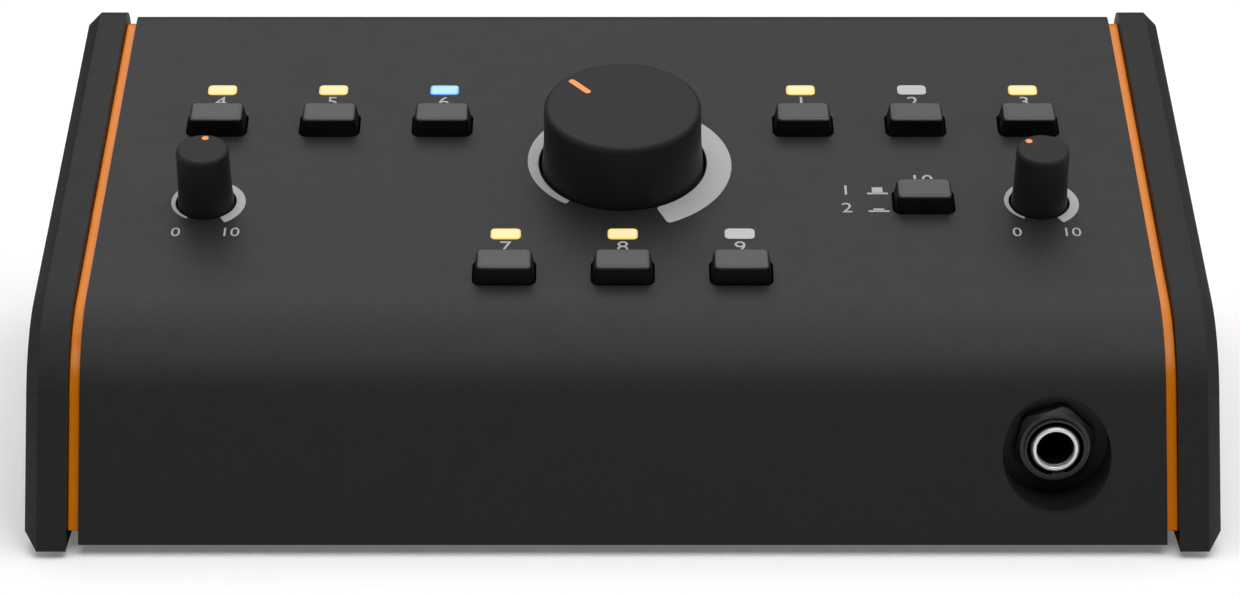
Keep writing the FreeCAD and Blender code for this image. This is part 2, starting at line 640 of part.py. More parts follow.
def make_recess():
    """Sleeve behind the cover's opening, cut to the lean of the front."""
    body = new_body("phones_recess_sleeve")
    sketch = upright_sketch(body, "jack_wall")
    circle(sketch, *PHONES, "recess_dia + 2 * recess_wall")
    circle(sketch, *PHONES, "recess_dia")
    pad(body, sketch, "jack_wall")
    lean = side_sketch(body)
    inset = "cover_inset + sheet + sheet_gap"
    nose, bend = corner(inset, "-foot_drop")[:2]
    far = ("housing_depth / 2", f"{bend[1]} + (housing_depth / 2 - ({bend[0]})) * tan(panel_slope)")
    rounded_outline(lean, [("-rear_height", "-foot_drop"), nose, bend, far,
                           ("housing_depth / 2", "2 * rear_height"), ("-rear_height", "2 * rear_height")],
                    {2: f"bend_radius - ({inset})"})
    cut(body, lean, "overall_width", middle=True)
    put_housing(keep(body, "phones_recess_sleeve"))


def make_boards():
    body = new_body("control_board")
    sketch = new_sketch(body, "XY_Plane")
    polygon(sketch, [("-board_half", "board_near"), ("board_half", "board_near"),
                     ("board_half", "board_far"), ("-board_half", "board_far")])
    for side, run in POSTS:
        circle(sketch, side, run, "screw_dia + 2 * screw_gap")
    pad(body, sketch, "board_thick", reverse=True)
    put_panel(keep(body, "control_board"), lift="-board_depth")
    body = new_body("main_board")
    sketch = new_sketch(body, "XY_Plane")
    polygon(sketch, [("-main_half", "jack_wall_in + main_gap"), ("main_half", "jack_wall_in + main_gap"),
                     ("main_half", "rear_wall_in - main_gap"), ("-main_half", "rear_wall_in - main_gap")])
    pad(body, sketch, "board_thick", reverse=True)
    put_housing(keep(body, "main_board"), z="main_top")


def make_posts():
    """Posts that hang the control board under the panel, and stand the main board up."""
    post = new_body("post")
    sketch = new_sketch(post, "XY_Plane")
    circle(sketch, "0", "0", "post_dia")
    circle(sketch, "0", "0", "screw_dia")
    pad(post, sketch, "post_tall", reverse=True)
    spacer = new_body("spacer")
    sketch = new_sketch(spacer, "XY_Plane")
    circle(sketch, "0", "0", "post_dia")
    pad(spacer, sketch, "main_top - board_thick - floor_top", reverse=True)
    spots = [lambda k, a=side, b=run: put_panel(k, a, b, "-sheet") for side, run in POSTS]
    group("control_board_posts", post, spots)
    spots = [lambda k, a=side, b=depth: put_housing(k, a, b, "main_top - board_thick")
             for side in ("-post_side", "post_side") for depth in ("foot_front", "foot_rear")]
    group("main_board_spacers", spacer, spots)


def make_knob(label, base, top, height, edge, hollow):
    """Turned knob with a D bore. A wide one is hollow with a hub and ribs."""
    body = new_body(label)
    revolve(body, [("0", "-knob_sink"), (f"({base}) / 2", "-knob_sink"),
                   (f"({top}) / 2", height), ("0", height)])
    dress(body, "Fillet", edge, lambda p, d, e: abs(p.z - number(height)) < 0.01 and e.Length > 5)
    if hollow:
        inside = new_sketch(body, "XY_Plane", "vector(0; 0; -knob_sink)")
        circle(inside, "0", "0", f"{top} - 2 * volume_wall - 1")
        circle(inside, "0", "0", "shaft_dia + 4")
        cut(body, inside, f"{height} + knob_sink - volume_roof", reverse=True)
        rib = new_sketch(body, "XY_Plane", f"vector(0; 0; {height} - volume_roof)")
        rectangle(rib, "0", "(shaft_dia + 2) / 2 + (volume_top_dia - 2 * volume_wall) / 4 + 0.4",
                  "rib_thick", "(volume_top_dia - 2 * volume_wall - shaft_dia - 3) / 2 + 0.6")
        feature = pad(body, rib, "rib_tall", reverse=True)
        pattern = body.newObject("PartDesign::PolarPattern", "ribs")
        pattern.Originals = [feature]
        pattern.Axis = (rib, ["N_Axis"])
        pattern.Angle = 360
        pattern.Occurrences = 5
        body.Tip = pattern
        doc.recompute()
        under = new_sketch(body, "XY_Plane", "vector(0; 0; -knob_sink)")
        circle(under, "0", "0", "shaft_dia + 4.4")
        cut(body, under, "knob_sink + 0.4", reverse=True)
    bore = new_sketch(body, "XY_Plane", "vector(0; 0; -knob_sink)")
    flatted_circle(bore, "shaft_dia + 2 * grip_gap", "shaft_flat + grip_gap")
    cut(body, bore, "shaft_top + knob_sink + 0.3", reverse=True)
    return body


def make_mark_sketch(body, height, gap, is_line):
    sketch = new_sketch(body, "XY_Plane", f"vector(0; 0; {height})")
    if is_line:
        rectangle(sketch, "0", "(mark_near + mark_far) / 2", f"mark_width + 2 * ({gap})",
                  f"mark_far - mark_near + 2 * ({gap})")
    else:
        circle(sketch, "0", "dot_radius", f"dot_dia + 2 * ({gap})")
    return sketch


def round_mark(body, gap):
    """Rounds the ends of the line mark or of its slot."""
    half = number(f"mark_width / 2 + {gap}")
    ends = (number(f"mark_near - {gap}"), number(f"mark_far + {gap}"))

    def at_end(p, d, e):
        return abs(d.z) > 0.999 and abs(abs(p.x) - half) < 0.01 and min(abs(p.y - t) for t in ends) < 0.01

    dress(body, "Fillet", f"mark_width / 2 + {gap} - 0.02", at_end)


def make_control(prefix, side, run, turn, big):
    """A knob, its inlaid mark and its shaft, which turn together."""
    height = "volume_height" if big else "level_height"
    base, top = ("volume_dia", "volume_top_dia") if big else ("level_dia", "level_top_dia")
    edge = "volume_round" if big else "level_round"
    knob = make_knob(prefix + "_knob", base, top, height, edge, big)
    cut(knob, make_mark_sketch(knob, height, "mark_gap", big), "mark_depth")
    if big:
        round_mark(knob, "mark_gap")
    put_panel(keep(knob, prefix + "_knob"), side, run, "0", turn)
    mark = new_body(prefix + "_mark")
    pad(mark, make_mark_sketch(mark, height, "0", big), "mark_depth", reverse=True)
    if big:
        round_mark(mark, "0")
    put_panel(keep(mark, prefix + "_mark"), side, run, "0", turn)
    shaft = new_body(prefix + "_shaft")
    lower = new_sketch(shaft, "XY_Plane")
    circle(lower, "0", "0", "shaft_dia")
    pad(shaft, lower, "board_depth - 1", reverse=True)
    upper = new_sketch(shaft, "XY_Plane")
    flatted_circle(upper, "shaft_dia", "shaft_flat")
    pad(shaft, upper, "shaft_top")
    narrow = new_sketch(shaft, "XY_Plane", "vector(0; 0; -knob_sink - 0.4)")
    rectangle(narrow, "0", "shaft_flat + 5", "shaft_dia + 4", "10")
    cut(shaft, narrow, "shaft_top", reverse=True)
    put_panel(keep(shaft, prefix + "_shaft"), side, run, "0", turn)


def make_pot(label, size, collar):
    """Potentiometer body with its bushing and three solder lugs."""
    body = new_body(label)
    base = new_sketch(body, "XY_Plane", "vector(0; 0; -board_depth)")
    rectangle(base, "0", "0", size, size)
    pad(body, base, "pot_tall")
    dress(body, "Chamfer", "1", lambda p, d, e: abs(d.z) > 0.999)
    neck = new_sketch(body, "XY_Plane", "vector(0; 0; pot_top)")
    circle(neck, "0", "0", collar)
    pad(body, neck, "-collar_below - (pot_top)")
    bore = new_sketch(body, "XY_Plane")
    circle(bore, "0", "0", "shaft_dia + 2 * shaft_gap")
    cut(body, bore, "board_depth - 0.6")
    return body


def make_button(node, x, run, master_cap, master_stem):
    for master, name in ((master_cap, node), (master_stem, node + "_stem")):
        put_panel(keep(master(name), name), x, run)


def make_cap(label):
    """Drafted key cap, hollow below, with a socket for the switch stem."""
    body = new_body(label)
    base = new_sketch(body, "XY_Plane", "vector(0; 0; -cap_sink)")
    rectangle(base, "0", "0", "cap_length", "cap_width")
    pad(body, base, "cap_sink + cap_height", taper="-cap_taper")
    top, low = number("cap_height"), -number("cap_sink")
    dress(body, "Fillet", "cap_corner", lambda p, d, e: low + 0.1 < p.z < top - 0.1)
    dress(body, "Fillet", "cap_edge", lambda p, d, e: abs(p.z - top) < 0.01)
    inside = new_sketch(body, "XY_Plane", "vector(0; 0; -cap_sink)")
    rectangle(inside, "0", "0", "cap_length - 2 * cap_wall", "cap_width - 2 * cap_wall")
    cut(body, inside, "cap_sink + cap_height - cap_roof", reverse=True)
    boss = new_sketch(body, "XY_Plane", "vector(0; 0; cap_height - cap_roof)")
    rectangle(boss, "0", "0", "stem_size + 1.6", "stem_size + 1.2")
    pad(body, boss, "cap_socket", reverse=True)
    socket = new_sketch(body, "XY_Plane", "vector(0; 0; cap_height - cap_roof - cap_socket)")
    rectangle(socket, "0", "0", "stem_size - 0.8", "stem_size - 0.8")
    cut(body, socket, "cap_socket + 0.1", reverse=True)
    return body


def make_stem(label):
    """Switch stem: a square slider with a thinner tongue in the cap's socket."""
    body = new_body(label)
    slider = new_sketch(body, "XY_Plane", "vector(0; 0; cap_height - cap_roof - cap_socket)")
    rectangle(slider, "0", "0", "stem_size", "stem_size")
    pad(body, slider, "board_depth + cap_height - cap_roof - cap_socket - stem_clear", reverse=True)
    tongue = new_sketch(body, "XY_Plane", "vector(0; 0; cap_height - cap_roof - cap_socket)")
    rectangle(tongue, "0", "0", "stem_size - 0.8", "stem_size - 0.8")
    pad(body, tongue, "cap_socket")
    return body


def make_switches():
    """Switch housings on the control board, each with a well for its stem."""
    body = new_body("switch_master")
    base = new_sketch(body, "XY_Plane", "vector(0; 0; -board_depth)")
    rectangle(base, "0", "0", "switch_length", "switch_width")
    pad(body, base, "switch_tall")
    collar = new_sketch(body, "XY_Plane", "vector(0; 0; switch_top)")
    rectangle(collar, "0", "0", "stem_size + 1.8", "stem_size + 1.2")
    pad(body, collar, "0.8")
    well = new_sketch(body, "XY_Plane", "vector(0; 0; switch_top + 1)")
    rectangle(well, "0", "0", "stem_size + 2 * stem_gap", "stem_size + 2 * stem_gap")
    cut(body, well, "switch_tall + 0.7")
    spots = [lambda k, a=x, b=run: put_panel(k, a, b) for _, x, run in PLACES_ON_PANEL]
    group("switch_housings", body, spots)


def make_windows():
    """Indicator windows: light pipes with a rim under the panel, over board lamps."""
    pipe = new_body("window_master")
    top = new_sketch(pipe, "XY_Plane", "vector(0; 0; window_proud)")
    rectangle(top, "0", "0", "window_length - 2 * window_gap", "window_width - 2 * window_gap")
    pad(pipe, top, "window_proud + sheet + window_flange + window_below", reverse=True)
    dress(pipe, "Fillet", "window_corner", lambda p, d, e: abs(d.z) > 0.999)
    rim = new_sketch(pipe, "XY_Plane", "vector(0; 0; -sheet)")
    rectangle(rim, "0", "0", "window_length + 1.4", "window_width + 1.2")
    pad(pipe, rim, "window_flange", reverse=True)
    lamp = new_body("lamp_master")
    base = new_sketch(lamp, "XY_Plane", "vector(0; 0; -board_depth)")
    rectangle(base, "0", "0", "lamp_length", "lamp_width")
    pad(lamp, base, "board_depth - sheet - window_flange - window_below - lamp_gap")
    for node, colour in (("amber_windows", "amber"), ("blue_window", "blue"), ("clear_windows", "clear")):
        spots = [lambda k, a=x, b=run: put_panel(k, a, f"{b} + window_offset")
                 for _, x, run, lit in BUTTONS if lit == colour]
        group(node, pipe, spots)
    spots = [lambda k, a=x, b=run: put_panel(k, a, f"{b} + window_offset") for _, x, run, _ in BUTTONS]
    group("indicator_lamps", lamp, spots)


def jack_masters():
    """Socket body, bright ring and nut, drawn along +Y from the wall's outer face at zero."""
    house = new_body("jack_body_master")
    block = new_sketch(house, "XZ_Plane", "vector(0; 0; -sheet)")
    rectangle(block, "0", "-0.25", "jack_width", "2 * jack_below - 0.5")
    pad(house, block, "jack_length", reverse=True)
    neck = new_sketch(house, "XZ_Plane", "vector(0; 0; -sheet)")
    circle(neck, "0", "0", "bushing_dia")
    pad(house, neck, "sheet + nut_thick + bushing_proud")
    seat = new_sketch(house, "XZ_Plane", "vector(0; 0; nut_thick + bushing_proud)")
    circle(seat, "0", "0", "ring_dia")
    cut(house, seat, "ring_length - ring_proud")
    chamber = new_sketch(house, "XZ_Plane", "vector(0; 0; nut_thick + bushing_proud)")
    circle(chamber, "0", "0", "jack_hollow")
    cut(house, chamber, "jack_length + sheet + nut_thick - 1")
    ring = new_body("ring_master")
    sketch = new_sketch(ring, "XZ_Plane", "vector(0; 0; nut_thick + bushing_proud + ring_proud)")
    circle(sketch, "0", "0", "ring_dia")
    circle(sketch, "0", "0", "plug_bore")
    pad(ring, sketch, "ring_length", reverse=True)
    dress(ring, "Chamfer", "0.25",
          lambda p, d, e: abs(p.y + number("nut_thick + bushing_proud + ring_proud")) < 0.01
          and e.Length > number("plug_bore") * 3.3)
    nut = new_body("nut_master")
    sketch = new_sketch(nut, "XZ_Plane")
    reach = "(nut_flats / 2 / cos(30))"
    hexagon = [(f"{reach} * sin({turn})", f"{reach} * cos({turn})") for turn in range(0, 360, 60)]
    polygon(sketch, hexagon[::-1])
    circle(sketch, "0", "0", "bushing_dia + 2 * bushing_gap")
    pad(nut, sketch, "nut_thick")
    bevel = new_sketch(nut, "XY_Plane")
    face, side = "-nut_thick", f"({reach} + 1)"
    flat = "nut_flats / 2 - 0.15"
    polygon(bevel, [(flat, f"{face} - 0.2"), (side, f"{face} - 0.2"),
                    (side, f"{face} + ({side} - ({flat})) * tan(30)"), (flat, face)])
    groove = nut.newObject("PartDesign::Groove", "bevel")
    groove.Profile = bevel
    groove.ReferenceAxis = (bevel, ["V_Axis"])
    groove.Angle = 360.0
    doc.recompute()
    return house, ring, nut


def put_wall(thing, x, z, y, faces_rear, turn="0"):
    """Seats a wall piece that is drawn facing the front, turned round for the rear."""
    spin = 180 if faces_rear else 0
    bind(thing, "Placement",
         f"placement(vector({x}; ({y}) - mid_depth; ({z}) + foot_drop); rotation(vector(0; 0; 1); {spin}))"
         f" * placement(vector(0; 0; 0); rotation(vector(0; 1; 0); {turn}))")


def make_jacks():
    house, ring, nut = jack_masters()
    for name, master, turn in (("jack_body", house, "0"), ("jack_ring", ring, "0"), ("jack_nut", nut, "nut_turn")):
        group("phones_" + name, master,
              [lambda k, t=turn: put_wall(k, *PHONES, "jack_wall", False, t)])
        spots = [lambda k, a=x: put_wall(k, a, "jack_height", "rear_wall_out", True) for x in REAR_JACKS]
        group({"jack_body": "rear_jack_bodies", "jack_ring": "rear_jack_rings",
               "jack_nut": "rear_jack_nuts"}[name], master, spots)


def make_phono():
    """Twin phono block inside and two barrels through the rear wall."""
    body = new_body("phono_block")
    block = new_sketch(body, "XZ_Plane", "vector(0; 0; -sheet)")
    polygon(block, [("-phono_block_width / 2", "-jack_below"), ("phono_block_width / 2", "-jack_below"),
                    ("phono_block_width / 2", "phono_pitch + 6"), ("-phono_block_width / 2", "phono_pitch + 6")])
    pad(body, block, "phono_block_depth", reverse=True)
    sockets = new_sketch(body, "XZ_Plane")
    for step in (0, 1):
        circle(sockets, "0", f"{step} * phono_pitch", "phono_pin_hole")
    cut(body, sockets, "sheet + 7")
    put_wall(keep(body, "phono_block"), "phono_side", "jack_height", "rear_wall_out", True)
    barrel = new_body("phono_master")
    sketch = new_sketch(barrel, "XZ_Plane", "vector(0; 0; -sheet)")
    circle(sketch, "0", "0", "phono_neck")
    circle(sketch, "0", "0", "phono_pin_hole")
    pad(barrel, sketch, "sheet + phono_shoulder")
    sketch = new_sketch(barrel, "XZ_Plane", "vector(0; 0; phono_shoulder)")
    circle(sketch, "0", "0", "phono_barrel")
    circle(sketch, "0", "0", "phono_pin_hole")
    pad(barrel, sketch, "phono_reach - phono_shoulder")
    dress(barrel, "Chamfer", "phono_bevel", lambda p, d, e: abs(p.y + number("phono_reach")) < 0.01
          and e.Length > number("phono_barrel") * 3)
    spots = [lambda k, n=step: put_wall(k, "phono_side", f"jack_height + {n} * phono_pitch",
                                        "rear_wall_out", True) for step in (0, 1)]
    group("phono_barrels", barrel, spots)


def make_inlet():
    """Low-voltage inlet: square body, round nose through the wall and a centre pin."""
    body = new_body("supply_inlet")
    block = new_sketch(body, "XZ_Plane", "vector(0; 0; -sheet)")
    polygon(block, [("-inlet_half", "-jack_below"), ("inlet_half", "-jack_below"),
                    ("inlet_half", "inlet_above"), ("-inlet_half", "inlet_above")])
    pad(body, block, "inlet_depth", reverse=True)
    nose = new_sketch(body, "XZ_Plane", "vector(0; 0; -sheet)")
    circle(nose, "0", "0", "inlet_dia")
    pad(body, nose, "sheet + inlet_proud")
    bore = new_sketch(body, "XZ_Plane", "vector(0; 0; inlet_proud)")
    circle(bore, "0", "0", "inlet_bore")
    circle(bore, "0", "0", "inlet_pin")
    cut(body, bore, "inlet_deep")
    put_wall(keep(body, "supply_inlet"), "inlet_side", "jack_height", "rear_wall_out", True)


def make_rocker():
    """Power switch body with its frame, and the paddle that tilts in it."""
    body = new_body("power_switch_body")
    bezel = new_sketch(body, "XZ_Plane")
    rectangle(bezel, "0", "0", "rocker_width + 2 * bezel_rim", "rocker_length + 2 * bezel_rim")
    pad(body, bezel, "bezel_proud")
    dress(body, "Chamfer", "0.6", lambda p, d, e: abs(p.y + number("bezel_proud")) < 0.01)
    shell = new_sketch(body, "XZ_Plane")
    rectangle(shell, "0", "0", "rocker_width + bezel_rim - 0.2", "rocker_length + bezel_rim - 0.2")
    pad(body, shell, "12", reverse=True)
    well = new_sketch(body, "XZ_Plane", "vector(0; 0; bezel_proud + 1)")
    rectangle(well, "0", "0", "rocker_width + 2 * rocker_gap", "rocker_length + 2 * rocker_gap")
    cut(body, well, "bezel_proud + 7.5")
    pivot = side_sketch(body)
    circle(pivot, "0", "0", "pivot_dia")
    pad(body, pivot, "rocker_width + bezel_rim - 1", middle=True)
    put_wall(keep(body, "power_switch_body"), "rocker_side", "rocker_height", "rear_wall_out", True)
    paddle = new_body("power_rocker")
    side = new_sketch(paddle, "YZ_Plane")
    half = "(rocker_length / 2 - rocker_gap)"
    tip = f"-{half} * tan(rocker_tilt) - rocker_dish"
    polygon(side, [("-rocker_dish", "0"), (tip, half), ("1.6", half + " - 0.4"),
                   ("3.4", "0"), ("1.6", f"0.4 - {half}"), (tip, f"-{half}")])
    circle(side, "0", "0", "pivot_dia + 2 * pivot_gap")
    pad(paddle, side, "rocker_width", middle=True)
    bind(paddle, "Placement",
         "placement(vector(rocker_side; rear_wall_out - mid_depth; rocker_height + foot_drop);"
         " rotation(vector(0; 0; 1); 180)) * placement(vector(0; 0; 0); rotation(vector(1; 0; 0); rocker_tilt))")
    keep(paddle, "power_rocker")


def make_feet():
    foot = new_body("foot_master")
    revolve(foot, [("0", "-foot_drop"), ("foot_dia / 2 - 0.8", "-foot_drop"),
                   ("foot_dia / 2", "-foot_drop + 1"), ("foot_dia / 2", "floor_low"), ("0", "floor_low")])
    spots = [lambda k, a=side, b=depth: put_housing(k, a, b)
             for side in ("-foot_half", "foot_half") for depth in ("foot_front", "foot_rear")]
    group("rubber_feet", foot, spots)


def make_screws():
    """Pan-head screws: three into each cheek, one into each control board post."""
    screw = new_body("screw_master")
    revolve(screw, [("0", "screw_head_tall"), ("0", "-screw_reach"), ("screw_dia / 2", "-screw_reach"),
                    ("screw_dia / 2", "0"), ("screw_head / 2", "0"),
                    ("screw_head / 2", "screw_head_tall * 0.4"), ("screw_head / 3", "screw_head_tall")])
    spots = []
    for sign in (-1, 1):
        for y, z in CHEEK_SCREWS:
            text = (f"placement(vector({sign} * inner_half; {y} - mid_depth; {z} + foot_drop);"
                    f" rotation(vector(0; 1; 0); {-90 * sign}))")
            spots.append(lambda k, t=text: bind(k, "Placement", t))
    for side, run in POSTS:
        y, z = corner("cover_inset")[1]
        lift = "(board_depth + board_thick)"
        text = (f"placement(vector({side}; {y} + {run} * cos(panel_slope) + {lift} * sin(panel_slope) - mid_depth;"
                f" {z} + {run} * sin(panel_slope) - {lift} * cos(panel_slope) + foot_drop);"
                f" rotation(vector(1; 0; 0); panel_slope + 180))")
        spots.append(lambda k, t=text: bind(k, "Placement", t))
    group("housing_screws", screw, spots)


def check_and_write():
    doc.recompute()
    for thing in doc.Objects:
        if "Invalid" in thing.State or "Error" in thing.State:
            raise RuntimeError(f"{thing.Label}: {thing.State}")
    os.makedirs("parts", exist_ok=True)
    for node, thing in NODES.items():
        if thing.Shape.isNull() or not thing.Shape.isValid():
            raise RuntimeError(f"{node}: bad shape")
        thing.Shape.exportStep(f"parts/{node}.step")


make_cover()
make_tray()
for node, sign in (("left_cheek", -1), ("right_cheek", 1)):
    make_cheek(node, sign)
for node, sign in (("left_accent_plate", -1), ("right_accent_plate", 1)):
    make_accent(node, sign)
make_recess()
make_boards()
make_posts()
make_control("volume", "0", "volume_run", "volume_turn", True)
make_control("source", "-level_side", "level_run", "source_turn", False)
make_control("phones", "level_side", "level_run", "phones_turn", False)
put_panel(keep(make_pot("volume_pot", "pot_size", "pot_collar"), "volume_pot"), "0", "volume_run")
small_pot = make_pot("small_pot_master", "small_pot_size", "small_pot_collar")
group("level_pots", small_pot, [lambda k, a=side: put_panel(k, a, "level_run")
                                for side in ("-level_side", "level_side")])
make_switches()
for name, x, run in PLACES_ON_PANEL:
    make_button(name, x, run, make_cap, make_stem)
make_windows()
make_jacks()
make_phono()
make_inlet()
make_rocker()
make_feet()
make_screws()
check_and_write()
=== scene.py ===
"""Looks of the studio monitor controller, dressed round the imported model.

All sizes are metres, in the model's own frame: X across, Y to the rear, Z up.
Places on the sloping panel are given as across and up the slope, from the line
where the panel and the leaning front would meet.
"""
import math

import bmesh
import bpy
from bpy.props import FloatProperty, FloatVectorProperty, IntProperty, PointerProperty
from mathutils import Matrix, Vector


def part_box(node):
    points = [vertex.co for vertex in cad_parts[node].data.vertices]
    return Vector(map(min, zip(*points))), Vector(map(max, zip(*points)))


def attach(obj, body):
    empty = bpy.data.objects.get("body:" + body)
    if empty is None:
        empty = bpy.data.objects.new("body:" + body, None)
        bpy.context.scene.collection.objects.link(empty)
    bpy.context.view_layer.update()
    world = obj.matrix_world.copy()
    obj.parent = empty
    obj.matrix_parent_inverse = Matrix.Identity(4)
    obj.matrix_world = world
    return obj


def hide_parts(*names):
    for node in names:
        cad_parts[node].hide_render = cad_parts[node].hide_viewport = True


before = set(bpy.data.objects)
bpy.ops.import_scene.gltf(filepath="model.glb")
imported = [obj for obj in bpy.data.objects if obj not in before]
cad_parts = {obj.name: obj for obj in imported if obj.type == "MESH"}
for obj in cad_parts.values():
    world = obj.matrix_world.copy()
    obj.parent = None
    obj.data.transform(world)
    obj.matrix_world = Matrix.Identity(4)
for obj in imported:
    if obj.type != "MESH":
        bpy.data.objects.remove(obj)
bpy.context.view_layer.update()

bl_info = {
    "name": "Studio monitor controller",
    "version": (1, 0, 0),
    "blender": (4, 5, 0),
    "location": "View3D > Sidebar > Controller",
    "description": "Models and finishes the pieces of a desktop studio monitor controller",
    "category": "Add Mesh",
}

MM = 0.001
TINY = 0.001 * MM


def cad(node):
    """Lowest and highest corner of a CAD node as vectors."""
    low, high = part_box(node)
    return Vector(low), Vector(high)


def length(name, text, millimetres):
    return FloatProperty(name=name, description=text, default=millimetres * MM, min=0.0, max=1.0,
                         unit="LENGTH", precision=5)


def angle(name, text, degrees):
    return FloatProperty(name=name, description=text, default=math.radians(degrees),
                         subtype="ANGLE", unit="ROTATION")


def colour(name, text, default):
    return FloatVectorProperty(name=name, description=text, default=default, size=3,
                               min=0.0, max=1.0, subtype="COLOR")


class HousingSizes(bpy.types.PropertyGroup):
    """Sizes of the folded cover, the cheeks and the coloured plates."""
    depth: length("Depth", "Front bottom corner to rear edge of a cheek", 117)
    rear_height: length("Rear height", "Of a cheek before its corner is rounded", 62.66)
    lean: angle("Front lean", "Back from upright", 24.7)
    slope: angle("Panel slope", "Rise towards the rear", 15.73)
    bend: length("Bend", "Radius of the large bend, on the cheek", 24)
    rear_corner: length("Rear corner", "Radius of the rear top corner, on the cheek", 6)
    bevel: length("Cheek bevel", "Bevel round the outer face of a cheek", 2.27)
    cover_inset: length("Cover inset", "Inside the cheek's outline", 0.85)
    plate_inset: length("Plate inset", "Inside the cheek's outline", 2.15)
    cover_lift: length("Cover lift", "Above the cheek's underside", 0.5)
    sheet: length("Sheet", "Thickness of the cover", 1.5)
    fold: length("Lower fold", "Lower front corner of cover and plates", 0.3)
    flange: length("Floor flange", "Its end from the front corner", 22)
    rear_edge: length("Rear edge", "Cover's end above the cheek's underside", 43.5)
    plate_gap: length("Plate gap", "Air at each face of a coloured plate", 0.05)
    recess: length("Recess", "Opening round the front socket", 18.4)
    arc_steps: IntProperty(name="Bend steps", description="Faces round the large bend", default=28, min=6)


class ControlSizes(bpy.types.PropertyGroup):
    """Sizes of knobs, caps and windows, and their places on the panel."""
    knob: length("Volume knob", "Diameter at the panel", 28.9)
    knob_top: length("Volume knob top", "Diameter at the top", 28.0)
    knob_height: length("Volume knob height", "Above the panel", 12.4)
    knob_hole: length("Volume knob opening", "Diameter in the panel", 30)
    level: length("Level knob", "Diameter at the panel", 9.95)
    level_top: length("Level knob top", "Diameter at the top", 9.35)
    level_height: length("Level knob height", "Above the panel", 11.5)
    level_hole: length("Level knob opening", "Diameter in the panel", 10.7)
    knob_edge: length("Volume knob edge", "Radius round its top", 1.1)
    level_edge: length("Level knob edge", "Radius round its top", 0.8)
    knob_wall: length("Volume knob wall", "Thickness", 2)
    level_wall: length("Level knob wall", "Thickness", 1.2)
    knob_roof: length("Knob roof", "Thickness of a knob's top", 2.6)
    mark_length: length("Volume line", "Length", 5.5)
    mark_width: length("Volume line width", "Width", 1.2)
    mark_place: length("Volume line place", "Its middle from the axis", 9.7)
    mark_turn: angle("Volume line turn", "Turn about its own middle", -12)
    dot: length("Level dot", "Diameter", 1.24)
    dot_place: length("Level dot place", "From the axis", 3.25)
    volume_rest: angle("Volume at rest", "Left of twelve o'clock", 52)
    source_rest: angle("Left knob at rest", "Left of twelve o'clock", -5)
    phones_rest: angle("Right knob at rest", "Left of twelve o'clock", 45)
    sink: length("Knob sink", "Below the panel", 1.2)
    cap_length: length("Cap length", "At the panel, across", 10.4)
    cap_width: length("Cap width", "At the panel, up the slope", 6.8)
    cap_top_length: length("Cap top length", "At its top, across", 9.4)
    cap_top_width: length("Cap top width", "At its top, up the slope", 5.6)
    cap_height: length("Cap height", "Above the panel", 3.2)
    cap_sink: length("Cap sink", "Below the panel", 3.0)
    cap_corner: length("Cap corner", "Radius of the upright corners", 0.9)
    cap_edge: length("Cap edge", "Radius round the top", 0.42)
    hole_length: length("Cap opening length", "Across", 11.1)
    hole_width: length("Cap opening width", "Up the slope", 7.4)
    hole_corner: length("Cap opening corner", "Radius", 1.5)
    window_length: length("Window length", "Across", 5.3)
    window_width: length("Window width", "Up the slope", 3.1)
    window_corner: length("Window corner", "Radius of its opening", 0.9)
    column: length("Outer column", "Outer buttons from the middle", 73.65)
    pitch: length("Column pitch", "Between columns of buttons", 20.45)
    upper: length("Upper row", "Up the slope", 61.95)
    middle: length("Middle row", "Up the slope", 37.8)
    lower: length("Lower row", "Up the slope", 16.7)
    volume_run: length("Volume place", "Up the slope", 50.1)
    window_rise: length("Window rise", "Window above its button, up the slope", 11.4)


class FinishColours(bpy.types.PropertyGroup):
    """Colours of the finishes, linear."""
    cover: colour("Cover", "Matt charcoal coat", (0.0168, 0.0168, 0.0176))
    cheek: colour("Cheeks", "Textured charcoal coat", (0.0205, 0.0205, 0.0215))
    plate: colour("Coloured plate", "Glossy orange", (0.96, 0.265, 0.001))
    mark: colour("Knob marks", "Orange inlay", (0.93, 0.33, 0.09))
    rubber: colour("Knobs", "Soft-touch black", (0.009, 0.009, 0.009))
    cap: colour("Button caps", "Textured dark grey", (0.011, 0.011, 0.0115))
    moulding: colour("Black mouldings", "Sockets, nuts and switches", (0.011, 0.011, 0.011))
    print: colour("Print", "Light grey ink", (0.42, 0.42, 0.42))
    amber: colour("Amber light", "Rim of a lit window", (0.87, 0.58, 0.09))
    amber_core: colour("Amber core", "Middle of a lit window", (0.92, 0.82, 0.46))
    blue: colour("Blue light", "Rim of the lit window", (0.05, 0.30, 0.87))
    blue_core: colour("Blue core", "Middle of the lit window", (0.52, 0.80, 0.95))
    unlit: colour("Unlit window", "Frosted plastic", (0.50, 0.50, 0.51))
    board: colour("Circuit boards", "Dark green", (0.01, 0.06, 0.03))
    stem: colour("Stems", "Pale plastic", (0.5, 0.5, 0.48))
    foot: colour("Feet", "Black rubber", (0.012, 0.012, 0.012))
    steel: colour("Plated steel", "Screws, posts and shafts", (0.42, 0.42, 0.42))
    nickel: colour("Nickel", "Socket rings and barrels", (0.95, 0.93, 0.89))


def housing():
    return bpy.context.scene.controller_housing


def controls():
    return bpy.context.scene.controller_controls


def colours():
    return bpy.context.scene.controller_colours


# The side outline

def side_zero():
    """Front bottom corner of the cheeks' outline in the side view."""
    low, high = cad("left_cheek")
    return high.y - housing().depth, low.z


